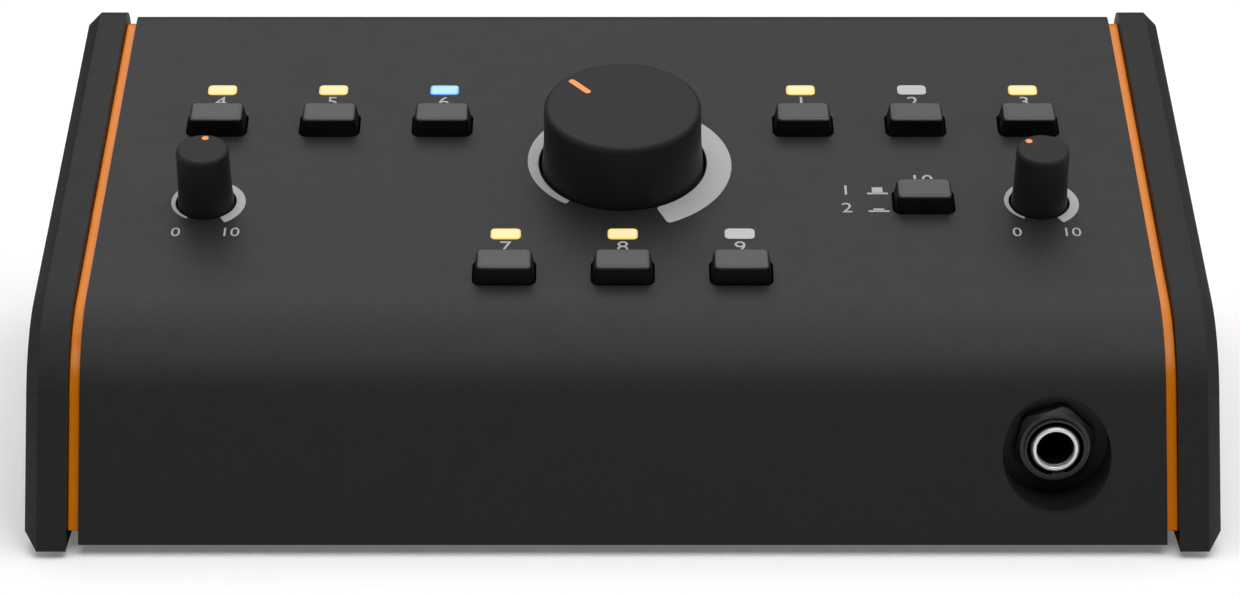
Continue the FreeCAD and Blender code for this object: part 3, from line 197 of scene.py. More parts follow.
def side_outline(inset, low):
    """Nose, bend, rear top and rear bottom corners of the outline drawn in by an inset."""
    size = housing()
    y_zero, z_zero = side_zero()
    slope, lean = math.tan(size.slope), math.tan(size.lean)
    back = size.depth - inset
    bend_up = (size.rear_height - size.depth * slope - inset / math.cos(size.slope)
               + slope * inset / math.cos(size.lean)) / (1 - slope * lean)
    shift = inset / math.cos(size.lean)
    top = size.rear_height - inset * slope - inset / math.cos(size.slope)
    corners = [(low * lean + shift, low), (bend_up * lean + shift, bend_up), (back, top), (back, low)]
    return [Vector((y_zero + y, z_zero + z)) for y, z in corners]


def rounded(corners, radii, steps):
    """Points of an outline whose corners are rounded by arcs."""
    points = []
    count = len(corners)
    for i, spot in enumerate(corners):
        radius = radii.get(i, 0.0)
        if radius <= 0:
            points.append(spot)
            continue
        before = (corners[i - 1] - spot).normalized()
        after = (corners[(i + 1) % count] - spot).normalized()
        half = before.angle(after) / 2
        centre = spot + (before + after).normalized() * (radius / math.sin(half))
        start = spot + before * (radius / math.tan(half)) - centre
        turn = math.pi - 2 * half
        # The arc turns from the first side of the corner to the second
        sign = 1 if start.y * before.x - start.x * before.y > 0 else -1
        number = max(3, int(steps * turn))
        for k in range(number + 1):
            part = sign * turn * k / number
            points.append(centre + Vector((start.x * math.cos(part) - start.y * math.sin(part),
                                           start.x * math.sin(part) + start.y * math.cos(part))))
    return points


# Places on the panel and the walls

def panel_matrix(across=0.0, up=0.0, lift=0.0, turn=0.0):
    """Matrix from a flat drawing to the sloping panel."""
    size = housing()
    corner = side_outline(size.cover_inset, size.cover_lift)[1]
    zero = Vector((0, corner.x, corner.y))
    tilt = Matrix.Rotation(size.slope, 4, "X")
    place = Matrix.Translation(zero) @ tilt @ Matrix.Translation((across, up, lift))
    return place @ Matrix.Rotation(turn, 4, "Z")


def wall_matrix(across, wall, up, rear, turn=0.0):
    """Stands a drawing on an upright wall, its Z facing out of the housing."""
    face = Matrix.Rotation(math.pi / 2, 4, "X")
    if rear:
        face = Matrix.Rotation(math.pi, 4, "Z") @ face
    return Matrix.Translation((across, wall, up)) @ face @ Matrix.Rotation(turn, 4, "Z")


def buttons():
    """Name, across, up the slope and lamp of each button."""
    size = controls()
    columns = [size.column - step * size.pitch for step in range(3)]
    rows = [(-x, size.upper, lamp) for x, lamp in zip(columns, ("amber", "amber", "blue"))]
    rows += [(x, size.upper, lamp) for x, lamp in zip(columns[::-1], ("amber", "clear", "amber"))]
    rows += [(step * size.pitch, size.lower, lamp)
             for step, lamp in zip((-1, 0, 1), ("amber", "amber", "clear"))]
    named = [(f"button_{i}", *row) for i, row in enumerate(rows, 1)]
    return named + [("latch_button", columns[1], size.middle, None)]


# Modelling

SMOOTH_BELOW = math.radians(32)
MERGE = 0.0001 * MM
# A face whose normal has at least this much of a direction faces that way
FACING = 0.99


def into_edit():
    bpy.ops.object.mode_set(mode="EDIT")


def out_of_edit():
    bpy.ops.object.mode_set(mode="OBJECT")


def begin():
    if bpy.context.object and bpy.context.object.mode != "OBJECT":
        out_of_edit()
    bpy.ops.object.select_all(action="DESELECT")


def pick(obj, kind, test):
    """Selects vertices, edges or faces of the object in edit mode by their place."""
    bpy.ops.mesh.select_mode(type={"verts": "VERT", "edges": "EDGE", "faces": "FACE"}[kind])
    bpy.ops.mesh.select_all(action="DESELECT")
    mesh = bmesh.from_edit_mesh(obj.data)
    chosen = [item for item in getattr(mesh, kind) if test(item)]
    for item in chosen:
        item.select_set(True)
    mesh.select_flush_mode()
    bmesh.update_edit_mesh(obj.data)
    return len(chosen)


def choose(*parts):
    """Selects these alone, the first of them active."""
    begin()
    for part in parts:
        part.select_set(True)
    bpy.context.view_layer.objects.active = parts[0]


def settle(obj, matrix=None):
    """Puts the place into the mesh and shades round surfaces smooth."""
    choose(obj)
    if matrix is not None:
        obj.matrix_world = matrix @ obj.matrix_world
    bpy.ops.object.transform_apply(location=True, rotation=True, scale=True)
    bpy.ops.object.shade_smooth_by_angle(angle=SMOOTH_BELOW)
    return obj


def face_outward():
    bpy.ops.mesh.select_all(action="SELECT")
    bpy.ops.mesh.remove_doubles(threshold=MERGE)
    bpy.ops.mesh.normals_make_consistent(inside=False)


def flat_outline(name, points, fill="NGON"):
    """A filled outline in the XY plane, from a circle whose points are moved to it."""
    begin()
    bpy.ops.mesh.primitive_circle_add(vertices=len(points), radius=1.0, fill_type=fill)
    obj = bpy.context.object
    obj.name = name
    for vert, point in zip(obj.data.vertices, points):
        vert.co = (point[0], point[1], 0.0)
    return obj


def prism(name, points, depth):
    """A filled outline pulled up by a depth along Z."""
    obj = flat_outline(name, points)
    into_edit()
    bpy.ops.mesh.select_all(action="SELECT")
    bpy.ops.mesh.extrude_region_move(TRANSFORM_OT_translate={"value": (0, 0, depth)})
    face_outward()
    out_of_edit()
    return obj


def across_matrix(x):
    """Stands a drawing made in the side view (Y, Z) across the width at x."""
    return Matrix(((0, 0, 1, x), (1, 0, 0, 0), (0, 1, 0, 0), (0, 0, 0, 1)))


def flat_at(*places):
    """Test for edges that lie in the side view at one of some places across."""
    return lambda edge: any(all(abs(v.co.x - x) < TINY for v in edge.verts) for x in places)


def soften(obj, test, width, segments):
    """Bevels the edges that pass a test."""
    bpy.context.view_layer.objects.active = obj
    into_edit()
    if pick(obj, "edges", test):
        bpy.ops.mesh.bevel(offset=width, segments=segments, affect="EDGES", clamp_overlap=True)
    out_of_edit()


def turned(name, profile, steps=96):
    """Spins a profile of radius and height about Z. Both ends lie on the axis or meet."""
    obj = flat_outline(name, [(r, 0) for r, _ in profile], fill="NOTHING")
    for vert, (radius, height) in zip(obj.data.vertices, profile):
        vert.co = (radius, 0.0, height)
    into_edit()
    if profile[0][0] < TINY:
        ends = {0, len(profile) - 1}
        pick(obj, "edges", lambda e: {v.index for v in e.verts} == ends)
        bpy.ops.mesh.delete(type="EDGE")
    bpy.ops.mesh.select_mode(type="VERT")
    bpy.ops.mesh.select_all(action="SELECT")
    bpy.ops.mesh.spin(steps=steps, angle=2 * math.pi, center=(0, 0, 0), axis=(0, 0, 1))
    face_outward()
    bpy.ops.mesh.dissolve_degenerate(threshold=MERGE / 10)
    out_of_edit()
    return obj


def fillet_profile(points, radii, steps=10):
    return [(p.x, p.y) for p in rounded([Vector(p) for p in points], radii, steps)]


def rectangle_points(across, up, width, height, radius=0.0, steps=8):
    a, b = width / 2, height / 2
    corners = [Vector((across + sx * a, up + sy * b)) for sx, sy in ((-1, -1), (1, -1), (1, 1), (-1, 1))]
    return rounded(corners, {i: radius for i in range(4)}, steps)


def circle_points(across, up, radius, steps=96):
    return [Vector((across + radius * math.cos(2 * math.pi * k / steps),
                    up + radius * math.sin(2 * math.pi * k / steps))) for k in range(steps)]


def join(name, parts):
    """One piece of several solids."""
    choose(*parts)
    if len(parts) > 1:
        bpy.ops.object.join()
    whole = bpy.context.object
    whole.name = name
    return whole


def carve(obj, cutters):
    """Cuts solids out of a piece and removes them."""
    tool = join("cutter", cutters)
    choose(obj)
    modifier = obj.modifiers.new("openings", "BOOLEAN")
    modifier.operation = "DIFFERENCE"
    modifier.solver = "EXACT"
    modifier.object = tool
    bpy.ops.object.modifier_apply(modifier=modifier.name)
    bpy.data.objects.remove(tool, do_unlink=True)


def finish_piece(obj, material, body="root", nodes=()):
    """Gives a piece its material and its body, and hides the nodes it stands for."""
    obj.data.materials.clear()
    obj.data.materials.append(material)
    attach(obj, body)
    if nodes:
        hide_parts(*nodes)


# Materials
# Noise scales are per metre and grain depths in metres. Shades are shares of a finish's tone.

def new_material(name):
    material = bpy.data.materials.new(name)
    material.use_nodes = True
    tree = material.node_tree
    shader = tree.nodes["Principled BSDF"]
    place = tree.nodes.new("ShaderNodeTexCoord")
    return material, tree, shader, place


def put(node, values):
    """Sets inputs of a node by name."""
    for name, value in values.items():
        node.inputs[name].default_value = value


def noise(tree, place, scale, detail=3.0, roughness=0.6):
    node = tree.nodes.new("ShaderNodeTexNoise")
    put(node, {"Scale": scale, "Detail": detail, "Roughness": roughness})
    tree.links.new(place.outputs["Object"], node.inputs["Vector"])
    return node


def blend_range(tree, source, low, high):
    node = tree.nodes.new("ShaderNodeMapRange")
    put(node, {"To Min": low, "To Max": high})
    tree.links.new(source, node.inputs["Value"])
    return node.outputs["Result"]


def tint(tree, factor, dark, light):
    node = tree.nodes.new("ShaderNodeMix")
    node.data_type = "RGBA"
    put(node, {"A": (*dark, 1), "B": (*light, 1)})
    tree.links.new(factor, node.inputs["Factor"])
    return node.outputs["Result"]


def scaled(rgb, factor):
    return tuple(min(1.0, c * factor) for c in rgb)


def shade(tree, shader, pattern, rgb, dark, light):
    """Base colour between a darker and a lighter share of one tone."""
    tree.links.new(tint(tree, pattern.outputs["Fac"], scaled(rgb, dark), scaled(rgb, light)),
                   shader.inputs["Base Color"])


def roughen(tree, shader, pattern, low, high):
    tree.links.new(blend_range(tree, pattern.outputs["Fac"], low, high), shader.inputs["Roughness"])


def grain(tree, shader, place, fine, coarse, depth, strength):
    """Bump from two sizes of grain."""
    small = noise(tree, place, fine, 2.0, 0.7)
    large = noise(tree, place, coarse, 4.0, 0.5)
    mix = tree.nodes.new("ShaderNodeMath")
    mix.operation = "MULTIPLY_ADD"
    mix.inputs[1].default_value = 0.35
    tree.links.new(large.outputs["Fac"], mix.inputs[0])
    tree.links.new(small.outputs["Fac"], mix.inputs[2])
    bump = tree.nodes.new("ShaderNodeBump")
    put(bump, {"Distance": depth, "Strength": strength})
    tree.links.new(mix.outputs["Value"], bump.inputs["Height"])
    tree.links.new(bump.outputs["Normal"], shader.inputs["Normal"])
    return small, large


def coated_metal(name, rgb, fine, strength, rough=0.46, specular=0.25):
    """Matt coat with a fine grain and slight change of tone."""
    material, tree, shader, place = new_material(name)
    small, large = grain(tree, shader, place, fine, 240.0, 0.00004, strength)
    shade(tree, shader, small, rgb, 0.55, 1.5)
    roughen(tree, shader, large, rough - 0.05, rough + 0.07)
    put(shader, {"Specular IOR Level": specular})
    return material


def soft_rubber():
    """Soft-touch black of the knobs, with a faint sheen."""
    material, tree, shader, place = new_material("soft_touch_rubber")
    rgb = colours().rubber
    small, large = grain(tree, shader, place, 5200.0, 420.0, 0.000012, 0.35)
    shade(tree, shader, large, rgb, 0.8, 1.25)
    roughen(tree, shader, small, 0.5, 0.62)
    put(shader, {"Specular IOR Level": 0.25, "Sheen Weight": 0.04, "Sheen Roughness": 0.4})
    return material


def textured_plastic(name, rgb, scale, strength, rough):
    """Moulded plastic or rubber: grain scale and strength, then roughness."""
    material, tree, shader, place = new_material(name)
    small, large = grain(tree, shader, place, scale, 700.0, 0.00005, strength)
    shade(tree, shader, small, rgb, 0.55, 1.6)
    roughen(tree, shader, large, rough - 0.06, rough + 0.08)
    return material


def cap_plastic():
    """Grained top of a cap, with painted light: the top lighter and given more specular reflection, the
    sides darkened with painted shade and left plain.
    """
    material, tree, shader, place = new_material("cap_plastic")
    rgb = colours().cap
    small, _ = grain(tree, shader, place, 2200.0, 700.0, 0.00005, 1.0)
    shading_mask = tree.nodes.new("ShaderNodeAttribute")
    shading_mask.attribute_name = "cap_crown"
    mix = tree.nodes.new("ShaderNodeMix")
    mix.data_type = "RGBA"
    # Painted shade: the sides of a cap take a fifth of its tone
    put(mix, {"A": (*scaled(rgb, 0.2), 1)})
    tree.links.new(tint(tree, small.outputs["Fac"], scaled(rgb, 0.5), scaled(rgb, 1.6)), mix.inputs["B"])
    tree.links.new(shading_mask.outputs["Fac"], mix.inputs["Factor"])
    tree.links.new(mix.outputs["Result"], shader.inputs["Base Color"])
    # Painted highlight: specular raised on the top of a cap and lowered on its sides
    tree.links.new(blend_range(tree, shading_mask.outputs["Fac"], 0.12, 0.8), shader.inputs["Specular IOR Level"])
    put(shader, {"Roughness": 0.42})
    return material


def glossy_plate():
    """Polished coloured acrylic with a thin clear coat."""
    material, tree, shader, place = new_material("orange_acrylic")
    rgb = colours().plate
    large = noise(tree, place, 90.0, 2.0)
    shade(tree, shader, large, rgb, 0.93, 1.05)
    roughen(tree, shader, large, 0.2, 0.28)
    put(shader, {"Specular IOR Level": 0.25, "Coat Weight": 0.08, "Coat Roughness": 0.1})
    return material


def painted_mark():
    """Paint in the knobs' marks."""
    material, tree, shader, place = new_material("inlaid_mark")
    rgb = colours().mark
    fine = noise(tree, place, 2600.0)
    shade(tree, shader, fine, rgb, 0.92, 1.08)
    roughen(tree, shader, fine, 0.42, 0.55)
    return material


def printed_ink():
    """Slightly grained grey ink."""
    material, tree, shader, place = new_material("grey_ink")
    rgb = colours().print
    small, _ = grain(tree, shader, place, 3800.0, 600.0, 0.00002, 0.5)
    shade(tree, shader, small, rgb, 0.86, 1.12)
    put(shader, {"Roughness": 0.55})
    return material


def nickel(name, rgb, rough, metallic=1.0):
    """Bare or plated metal, a little uneven."""
    material, tree, shader, place = new_material(name)
    fine = noise(tree, place, 900.0, 4.0)
    shade(tree, shader, fine, rgb, 0.9, 1.05)
    roughen(tree, shader, fine, rough - 0.05, rough + 0.08)
    put(shader, {"Metallic": metallic})
    return material


def lit_window(name, rgb, core):
    """A lit light pipe: bright in the middle, deeper in colour towards its rim."""
    material, tree, shader, _ = new_material(name)
    nearness = tree.nodes.new("ShaderNodeAttribute")
    nearness.attribute_name = "window_core"
    ramp = tree.nodes.new("ShaderNodeValToRGB")
    ramp.color_ramp.elements[0].position = 0.0
    ramp.color_ramp.elements[0].color = (*rgb, 1)
    ramp.color_ramp.elements[1].position = 0.75
    ramp.color_ramp.elements[1].color = (*core, 1)
    tree.links.new(nearness.outputs["Fac"], ramp.inputs["Fac"])
    tree.links.new(ramp.outputs["Color"], shader.inputs["Emission Color"])
    put(shader, {"Base Color": (*scaled(rgb, 0.1), 1), "Emission Strength": 1.0,
                 "Specular IOR Level": 0.25, "Roughness": 0.35})
    return material


def frosted_window():
    """Unlit light pipe."""
    material, tree, shader, place = new_material("frosted_window")
    rgb = colours().unlit
    fine = noise(tree, place, 1500.0)
    shade(tree, shader, fine, rgb, 0.95, 1.05)
    put(shader, {"Roughness": 0.4, "Subsurface Weight": 0.2, "Subsurface Radius": (0.001, 0.001, 0.001)})
    return material


FINISH = {}


def make_finishes():
    tone = colours()
    FINISH.update({
        "cover": coated_metal("cover_coat", tone.cover, fine=2700, strength=0.8),
        "cheek": coated_metal("cheek_coat", tone.cheek, fine=1900, strength=1, rough=0.5,
                              specular=0.14),
        "tray": coated_metal("tray_coat", tone.cover, fine=5200, strength=0.5),
        "plate": glossy_plate(),
        "rubber": soft_rubber(),
        "mark": painted_mark(),
        "cap": cap_plastic(),
        "moulding": textured_plastic("black_moulding", tone.moulding, 2400, 0.25, 0.34),
        "board": textured_plastic("circuit_board", tone.board, 900, 0.2, 0.35),
        "stem": textured_plastic("stem_plastic", tone.stem, 1800, 0.2, 0.4),
        "foot": textured_plastic("foot_rubber", tone.foot, 1600, 0.6, 0.75),
        "print": printed_ink(),
        "nickel": nickel("bright_nickel", tone.nickel, rough=0.3, metallic=0.6),
        "steel": nickel("plated_steel", tone.steel, rough=0.38),
        "amber": lit_window("amber_window", tone.amber, tone.amber_core),
        "blue": lit_window("blue_window", tone.blue, tone.blue_core),
        "clear": frosted_window(),
    })


# Housing pieces

CHEEK_EDGE = 0.35 * MM
CHEEK_BACK_EDGE = 0.2 * MM
PLATE_EDGE = 0.22 * MM
# Radians between two faces from which an edge of a cheek is softened
SHARP = 0.3


def cover_openings():
    """Solids that cut the knob, cap, window and socket openings."""
    size, control = housing(), controls()
    deep, below = 3 * size.sheet, 2.25 * size.sheet
    recess_depth, recess_behind = 30 * MM, 5 * MM
    cutters = []

    def opening(points):
        solid = prism("opening", points, deep)
        cutters.append(settle(solid, panel_matrix(lift=-below)))

    opening(circle_points(0, control.volume_run, control.knob_hole / 2, 128))
    for side in (-1, 1):
        opening(circle_points(side * control.column, control.middle, control.level_hole / 2))
    for _, across, up, lamp in buttons():
        opening(rectangle_points(across, up, control.hole_length, control.hole_width,
                                 control.hole_corner))
        if lamp:
            opening(rectangle_points(across, up + control.window_rise, control.window_length,
                                     control.window_width, control.window_corner))
    low, high = cad("phones_recess_sleeve")
    centre = (low + high) / 2
    ring = cad("phones_jack_ring")
    axis = (ring[0] + ring[1]) / 2
    solid = prism("opening", circle_points(0, 0, size.recess / 2, 128), recess_depth)
    cutters.append(settle(solid, wall_matrix(axis.x, centre.y + recess_behind, axis.z, False)))
    return cutters


class CONTROLLER_OT_cover(bpy.types.Operator):
    """Fold the top cover and cut its openings"""
    bl_idname = "controller.cover"
    bl_label = "Top cover"

    def execute(self, context):
        size = housing()
        outer = side_outline(size.cover_inset, size.cover_lift)
        inner = side_outline(size.cover_inset + size.sheet, size.cover_lift + size.sheet)
        bends = {0: size.fold, 1: size.bend - size.cover_inset, 2: size.rear_corner - size.cover_inset}
        tight = {corner: bends[corner] - size.sheet for corner in (1, 2)}
        y_zero, z_zero = side_zero()
        low, high = cad("top_cover")
        flange_end = y_zero + size.flange
        rear_end = z_zero + size.rear_edge
        outside = rounded(outer, bends, size.arc_steps)[:-1]
        inside = rounded(inner, tight, size.arc_steps)[:-1]
        section = ([Vector((flange_end, outer[0].y))] + outside + [Vector((outer[2].x, rear_end)),
                   Vector((inner[2].x, rear_end))] + inside[::-1] + [Vector((flange_end, inner[0].y))])
        width = high.x - low.x
        sheet = prism("cover_sheet", [(p.x, p.y) for p in section], width)
        settle(sheet, across_matrix(low.x))
        carve(sheet, cover_openings())
        settle(sheet)
        finish_piece(sheet, FINISH["cover"], nodes=["top_cover"])
        return {"FINISHED"}


class CONTROLLER_OT_sides(bpy.types.Operator):
    """Model both cheeks and both coloured plates"""
    bl_idname = "controller.sides"
    bl_label = "Cheeks and plates"

    def execute(self, context):
        size = housing()
        for side in ("left", "right"):
            node = side + "_cheek"
            low, high = cad(node)
            outline = rounded(side_outline(0.0, 0.0), {1: size.bend, 2: size.rear_corner}, size.arc_steps)
            cheek = prism(side + "_cheek_casting", [(p.x, p.y) for p in outline], high.x - low.x)
            settle(cheek, across_matrix(low.x))
            outer = low.x if side == "left" else high.x
            inner = high.x if side == "left" else low.x
            soften(cheek, flat_at(outer), size.bevel, 1)
            soften(cheek, lambda e: e.calc_face_angle(0) > SHARP and e.calc_length() > MM
                   and any(abs(v.co.x - inner) > 10 * TINY for v in e.verts), CHEEK_EDGE, 2)
            soften(cheek, flat_at(inner), CHEEK_BACK_EDGE, 2)
            settle(cheek)
            finish_piece(cheek, FINISH["cheek"], nodes=[node])
            node = side + "_accent_plate"
            low, high = cad(node)
            inset = size.plate_inset
            outline = rounded(side_outline(inset, inset), {0: size.fold, 1: size.bend - inset,
                                                           2: size.rear_corner - inset}, size.arc_steps)
            thick = high.x - low.x - 2 * size.plate_gap
            plate = prism(side + "_orange_plate", [(p.x, p.y) for p in outline], thick)
            faces = (low.x + size.plate_gap, low.x + size.plate_gap + thick)
            settle(plate, across_matrix(faces[0]))
            soften(plate, flat_at(*faces), PLATE_EDGE, 3)
            settle(plate)
            finish_piece(plate, FINISH["plate"], nodes=[node])
        return {"FINISHED"}


# Controls

# How a knob's side widens downwards: share of its height, share of the widening
KNOB_FLARE = ((0.5, 0.12), (0.34, 0.26), (0.2, 0.48), (0.08, 0.8), (0.0, 1.0))


def knob_profile(base, top, height, edge, wall):
    """Half section of a knob from the middle of its top, down its flared side and up inside."""
    sink, roof = controls().sink, controls().knob_roof
    flare = (base - top) / 2
    outer = [(0.0, height), (top / 2, height)]
    outer += [(top / 2 + flare * share, height * up) for up, share in KNOB_FLARE]
    outer += [(base / 2, -sink)]
    profile = fillet_profile(outer, {1: edge, 3: height, 4: height, 5: height / 2}, 14)
    bore = base / 2 - wall
    return profile + [(bore, -sink), (bore, height - roof), (0.0, height - roof)]


class CONTROLLER_OT_knobs(bpy.types.Operator):
    """Turn the three knobs and inlay their marks"""
    bl_idname = "controller.knobs"
    bl_label = "Knobs"

    def execute(self, context):
        size = controls()
        rest = {"volume": (0.0, size.volume_run, size.volume_rest),
                "source": (-size.column, size.middle, size.source_rest),
                "phones": (size.column, size.middle, size.phones_rest)}
        thick, let_in, soft_edge = 0.3 * MM, 0.27 * MM, 0.06 * MM
        for body, (across, up, turn) in rest.items():
            big = body == "volume"
            if big:
                height = size.knob_height
                profile = knob_profile(size.knob, size.knob_top, height, size.knob_edge, size.knob_wall)
            else:
                height = size.level_height
                profile = knob_profile(size.level, size.level_top, height, size.level_edge, size.level_wall)
            place = panel_matrix(across, up, 0.0, turn)
            knob = settle(turned(body + "_grip", profile, 128 if big else 72), place)
            finish_piece(knob, FINISH["rubber"], body, [body + "_knob"])
            if big:
                reach, own_turn = size.mark_place, size.mark_turn
                points = rectangle_points(0, 0, size.mark_width, size.mark_length,
                                          size.mark_width / 2 - TINY, 10)
            else:
                reach, own_turn = size.dot_place, 0.0
                points = circle_points(0, 0, size.dot / 2, 40)
            mark = prism(body + "_line" if big else body + "_dot", points, thick)
            soften(mark, lambda e: all(v.co.z > thick - 10 * TINY for v in e.verts), soft_edge, 2)
            settle(mark, place @ Matrix.Translation((0, reach, height - let_in))
                   @ Matrix.Rotation(own_turn, 4, "Z"))
            finish_piece(mark, FINISH["mark"], body, [body + "_mark"])
        return {"FINISHED"}


def cap_piece(name):
    """One drafted cap with rounded corners, a soft top edge and a slightly dished top, its top marked for
    painted light and its sides for painted shade.
    """
    size = controls()
    rim, dish_width, dish_depth, lit_top_depth = 0.12 * MM, 0.22 * MM, 0.05 * MM, 0.36 * MM
    begin()
    bpy.ops.mesh.primitive_cube_add(size=1.0, location=(0, 0, size.cap_height / 2),
                                    scale=(size.cap_length, size.cap_width, size.cap_height))
    cap = settle(bpy.context.object)
    cap.name = name
    into_edit()
    pick(cap, "verts", lambda v: v.co.z > TINY)
    bpy.ops.transform.resize(value=(size.cap_top_length / size.cap_length,
                                    size.cap_top_width / size.cap_width, 1),
                             center_override=(0, 0, size.cap_height))
    pick(cap, "faces", lambda f: f.normal.z < -FACING)
    bpy.ops.mesh.extrude_region_move(TRANSFORM_OT_translate={"value": (0, 0, -size.cap_sink)})
    face_outward()
    out_of_edit()
    soften(cap, lambda e: abs(e.verts[0].co.z - e.verts[1].co.z) > MM, size.cap_corner, 6)
    soften(cap, lambda e: all(v.co.z > size.cap_height - TINY for v in e.verts), size.cap_edge, 4)
    into_edit()
    pick(cap, "faces", lambda f: f.normal.z > FACING)
    bpy.ops.mesh.inset(thickness=rim, depth=0)
    bpy.ops.mesh.inset(thickness=dish_width, depth=-dish_depth)
    out_of_edit()
    # Mask of painted light on the top of the cap and painted shade on its sides
    shading_mask = cap.data.attributes.new("cap_crown", "FLOAT", "POINT")
    for vert, value in zip(cap.data.vertices, shading_mask.data):
        value.value = 1.0 if vert.co.z > size.cap_height - lit_top_depth else 0.0
    return cap


class CONTROLLER_OT_caps(bpy.types.Operator):
    """Model one button cap and set a copy in each opening"""
    bl_idname = "controller.caps"
    bl_label = "Button caps"

    def execute(self, context):
        master = cap_piece("cap_master")
        for name, across, up, _ in buttons():
            cap = master.copy()
            cap.data = master.data.copy()
            cap.name = name + "_cap"
            bpy.context.collection.objects.link(cap)
            settle(cap, panel_matrix(across, up))
            finish_piece(cap, FINISH["cap"], name, [name])
        bpy.data.objects.remove(master, do_unlink=True)
        return {"FINISHED"}


def window_piece(name, across, up):
    """A light pipe's visible end, with how near its middle each point is."""
    size = controls()
    gap, corner, thick, let_in = 0.03 * MM, 0.85 * MM, 2.2 * MM, 2.08 * MM
    step, core_edge, middle_area = 0.25 * MM, 0.7 * MM, 3.0 * MM * MM
    points = rectangle_points(0, 0, size.window_length - 2 * gap, size.window_width - 2 * gap, corner, 10)
    window = prism(name, points, thick)
    into_edit()
    for _ in range(3):
        pick(window, "faces", lambda f: f.normal.z > FACING and f.calc_area() > middle_area)
        bpy.ops.mesh.inset(thickness=step, depth=0.0)
    out_of_edit()
    half = Vector((size.window_length / 2, size.window_width / 2))
    core = window.data.attributes.new("window_core", "FLOAT", "POINT")
    for vert, value in zip(window.data.vertices, core.data):
        edge = min(half.x - abs(vert.co.x), half.y - abs(vert.co.y))
        value.value = max(0.0, min(1.0, edge / core_edge))
    return settle(window, panel_matrix(across, up, -let_in))


class CONTROLLER_OT_windows(bpy.types.Operator):
    """Set the indicator windows"""
    bl_idname = "controller.windows"
    bl_label = "Indicator windows"

    def execute(self, context):
        rise = controls().window_rise
        slots = {"amber": ("amber_windows", "amber_light"), "blue": ("blue_window", "blue_light"),
                 "clear": ("clear_windows", "unlit_window")}
        for lamp, (node, slot) in slots.items():
            panes = [window_piece(name + "_pane", across, up + rise)
                     for name, across, up, lit in buttons() if lit == lamp]
            whole = join(lamp + "_panes", panes)
            finish_piece(whole, FINISH[lamp], nodes=[node])
        return {"FINISHED"}


# Print on the panel

INK = 0.02 * MM
INK_LIFT = 0.012 * MM
CAPITAL = 0.7
VOLUME_SWEEP = {"inner": 15.15 * MM, "thin": 16.3 * MM, "thick": 20.4 * MM, "start": -142, "end": 157}
LEVEL_SWEEP = {"inner": 5.42 * MM, "thin": 5.9 * MM, "thick": 7.25 * MM, "start": -149, "end": 149,
               "steps": 60}
SCALE_ENDS = (("0", -4.6 * MM), ("10", 4.9 * MM))
SCALE_RUN = 28.6 * MM
SCALE_TALL = 2.5 * MM
NUMBER_TALL = 3.1 * MM
NUMBER_RISE = 7.5 * MM
LATCH_RISE = 6.6 * MM
# Each row of the push symbols: number, place up the slope, height of the button above its line
PUSH_ROWS = (("1", 41.3 * MM, 1.9 * MM), ("2", 35.9 * MM, 0.8 * MM))
PUSH_NUMBER_ACROSS = 39.6 * MM
PUSH_NUMBER_TALL = 2.9 * MM
PUSH_ACROSS = 45.2 * MM
PUSH_LINE = (3.7 * MM, 0.5 * MM)
PUSH_CAP_LENGTH = 1.9 * MM
PUSH_DROP = 0.9 * MM


def ink_shape(points):
    return settle(prism("ink", points, INK), panel_matrix(lift=INK_LIFT))


def ink_text(text, across, up, height):
    """A plain number, centred."""
    begin()
    bpy.ops.object.text_add()
    label = bpy.context.object
    label.data.body = text
    label.data.align_x = "CENTER"
    label.data.align_y = "CENTER"
    label.data.size = height / CAPITAL
    label.data.extrude = INK / 2
    bpy.ops.object.convert(target="MESH")
    return settle(bpy.context.object, panel_matrix(across, up, INK_LIFT + INK / 2))


def sweep_wedge(across, up, inner, thin, thick, start, end, steps=90):
    """A ring that widens clockwise between two angles from twelve o'clock."""
    outer_points, inner_points = [], []
    for k in range(steps + 1):
        turn = math.radians(start + (end - start) * k / steps)
        reach = thin + (thick - thin) * k / steps
        outer_points.append((across + reach * math.sin(turn), up + reach * math.cos(turn)))
        inner_points.append((across + inner * math.sin(turn), up + inner * math.cos(turn)))
    corners = [Vector(p) for p in outer_points + inner_points[::-1]]
    last = len(corners) - 1
    narrow_share, broad_share = 0.3, 0.13
    radius = narrow_share * (thin - inner)
    broad = broad_share * (thick - inner)
    return rounded(corners, {0: radius, steps: broad, steps + 1: broad, last: radius}, 3)


class CONTROLLER_OT_print(bpy.types.Operator):
    """Print the rings, plain numbers and push symbols on the panel"""
    bl_idname = "controller.print"
    bl_label = "Panel print"

    def execute(self, context):
        size = controls()
        shapes = [ink_shape(sweep_wedge(0, size.volume_run, **VOLUME_SWEEP))]
        for side in (-1, 1):
            x = side * size.column
            shapes.append(ink_shape(sweep_wedge(x, size.middle, **LEVEL_SWEEP)))
            for text, reach in SCALE_ENDS:
                shapes.append(ink_text(text, x + reach, SCALE_RUN, SCALE_TALL))
        for number, (_, across, up, _) in zip((4, 5, 6, 1, 2, 3, 7, 8, 9, 10), buttons()):
            rise = LATCH_RISE if number == 10 else NUMBER_RISE
            shapes.append(ink_text(str(number), across, up + rise, NUMBER_TALL))
        for text, up, tall in PUSH_ROWS:
            shapes.append(ink_text(text, PUSH_NUMBER_ACROSS, up, PUSH_NUMBER_TALL))
            base = up - PUSH_DROP
            shapes.append(ink_shape(rectangle_points(PUSH_ACROSS, base, *PUSH_LINE)))
            shapes.append(ink_shape(rectangle_points(PUSH_ACROSS, base + tall / 2, PUSH_CAP_LENGTH, tall)))
        whole = join("panel_print", shapes)
        finish_piece(whole, FINISH["print"])
        return {"FINISHED"}


# Sockets and the rear

NUT_FLATS = 13.0 * MM
NUT_THICK = 2.6 * MM
NUT_BORE = 10.5 * MM
NUT_TURN = math.radians(-13)
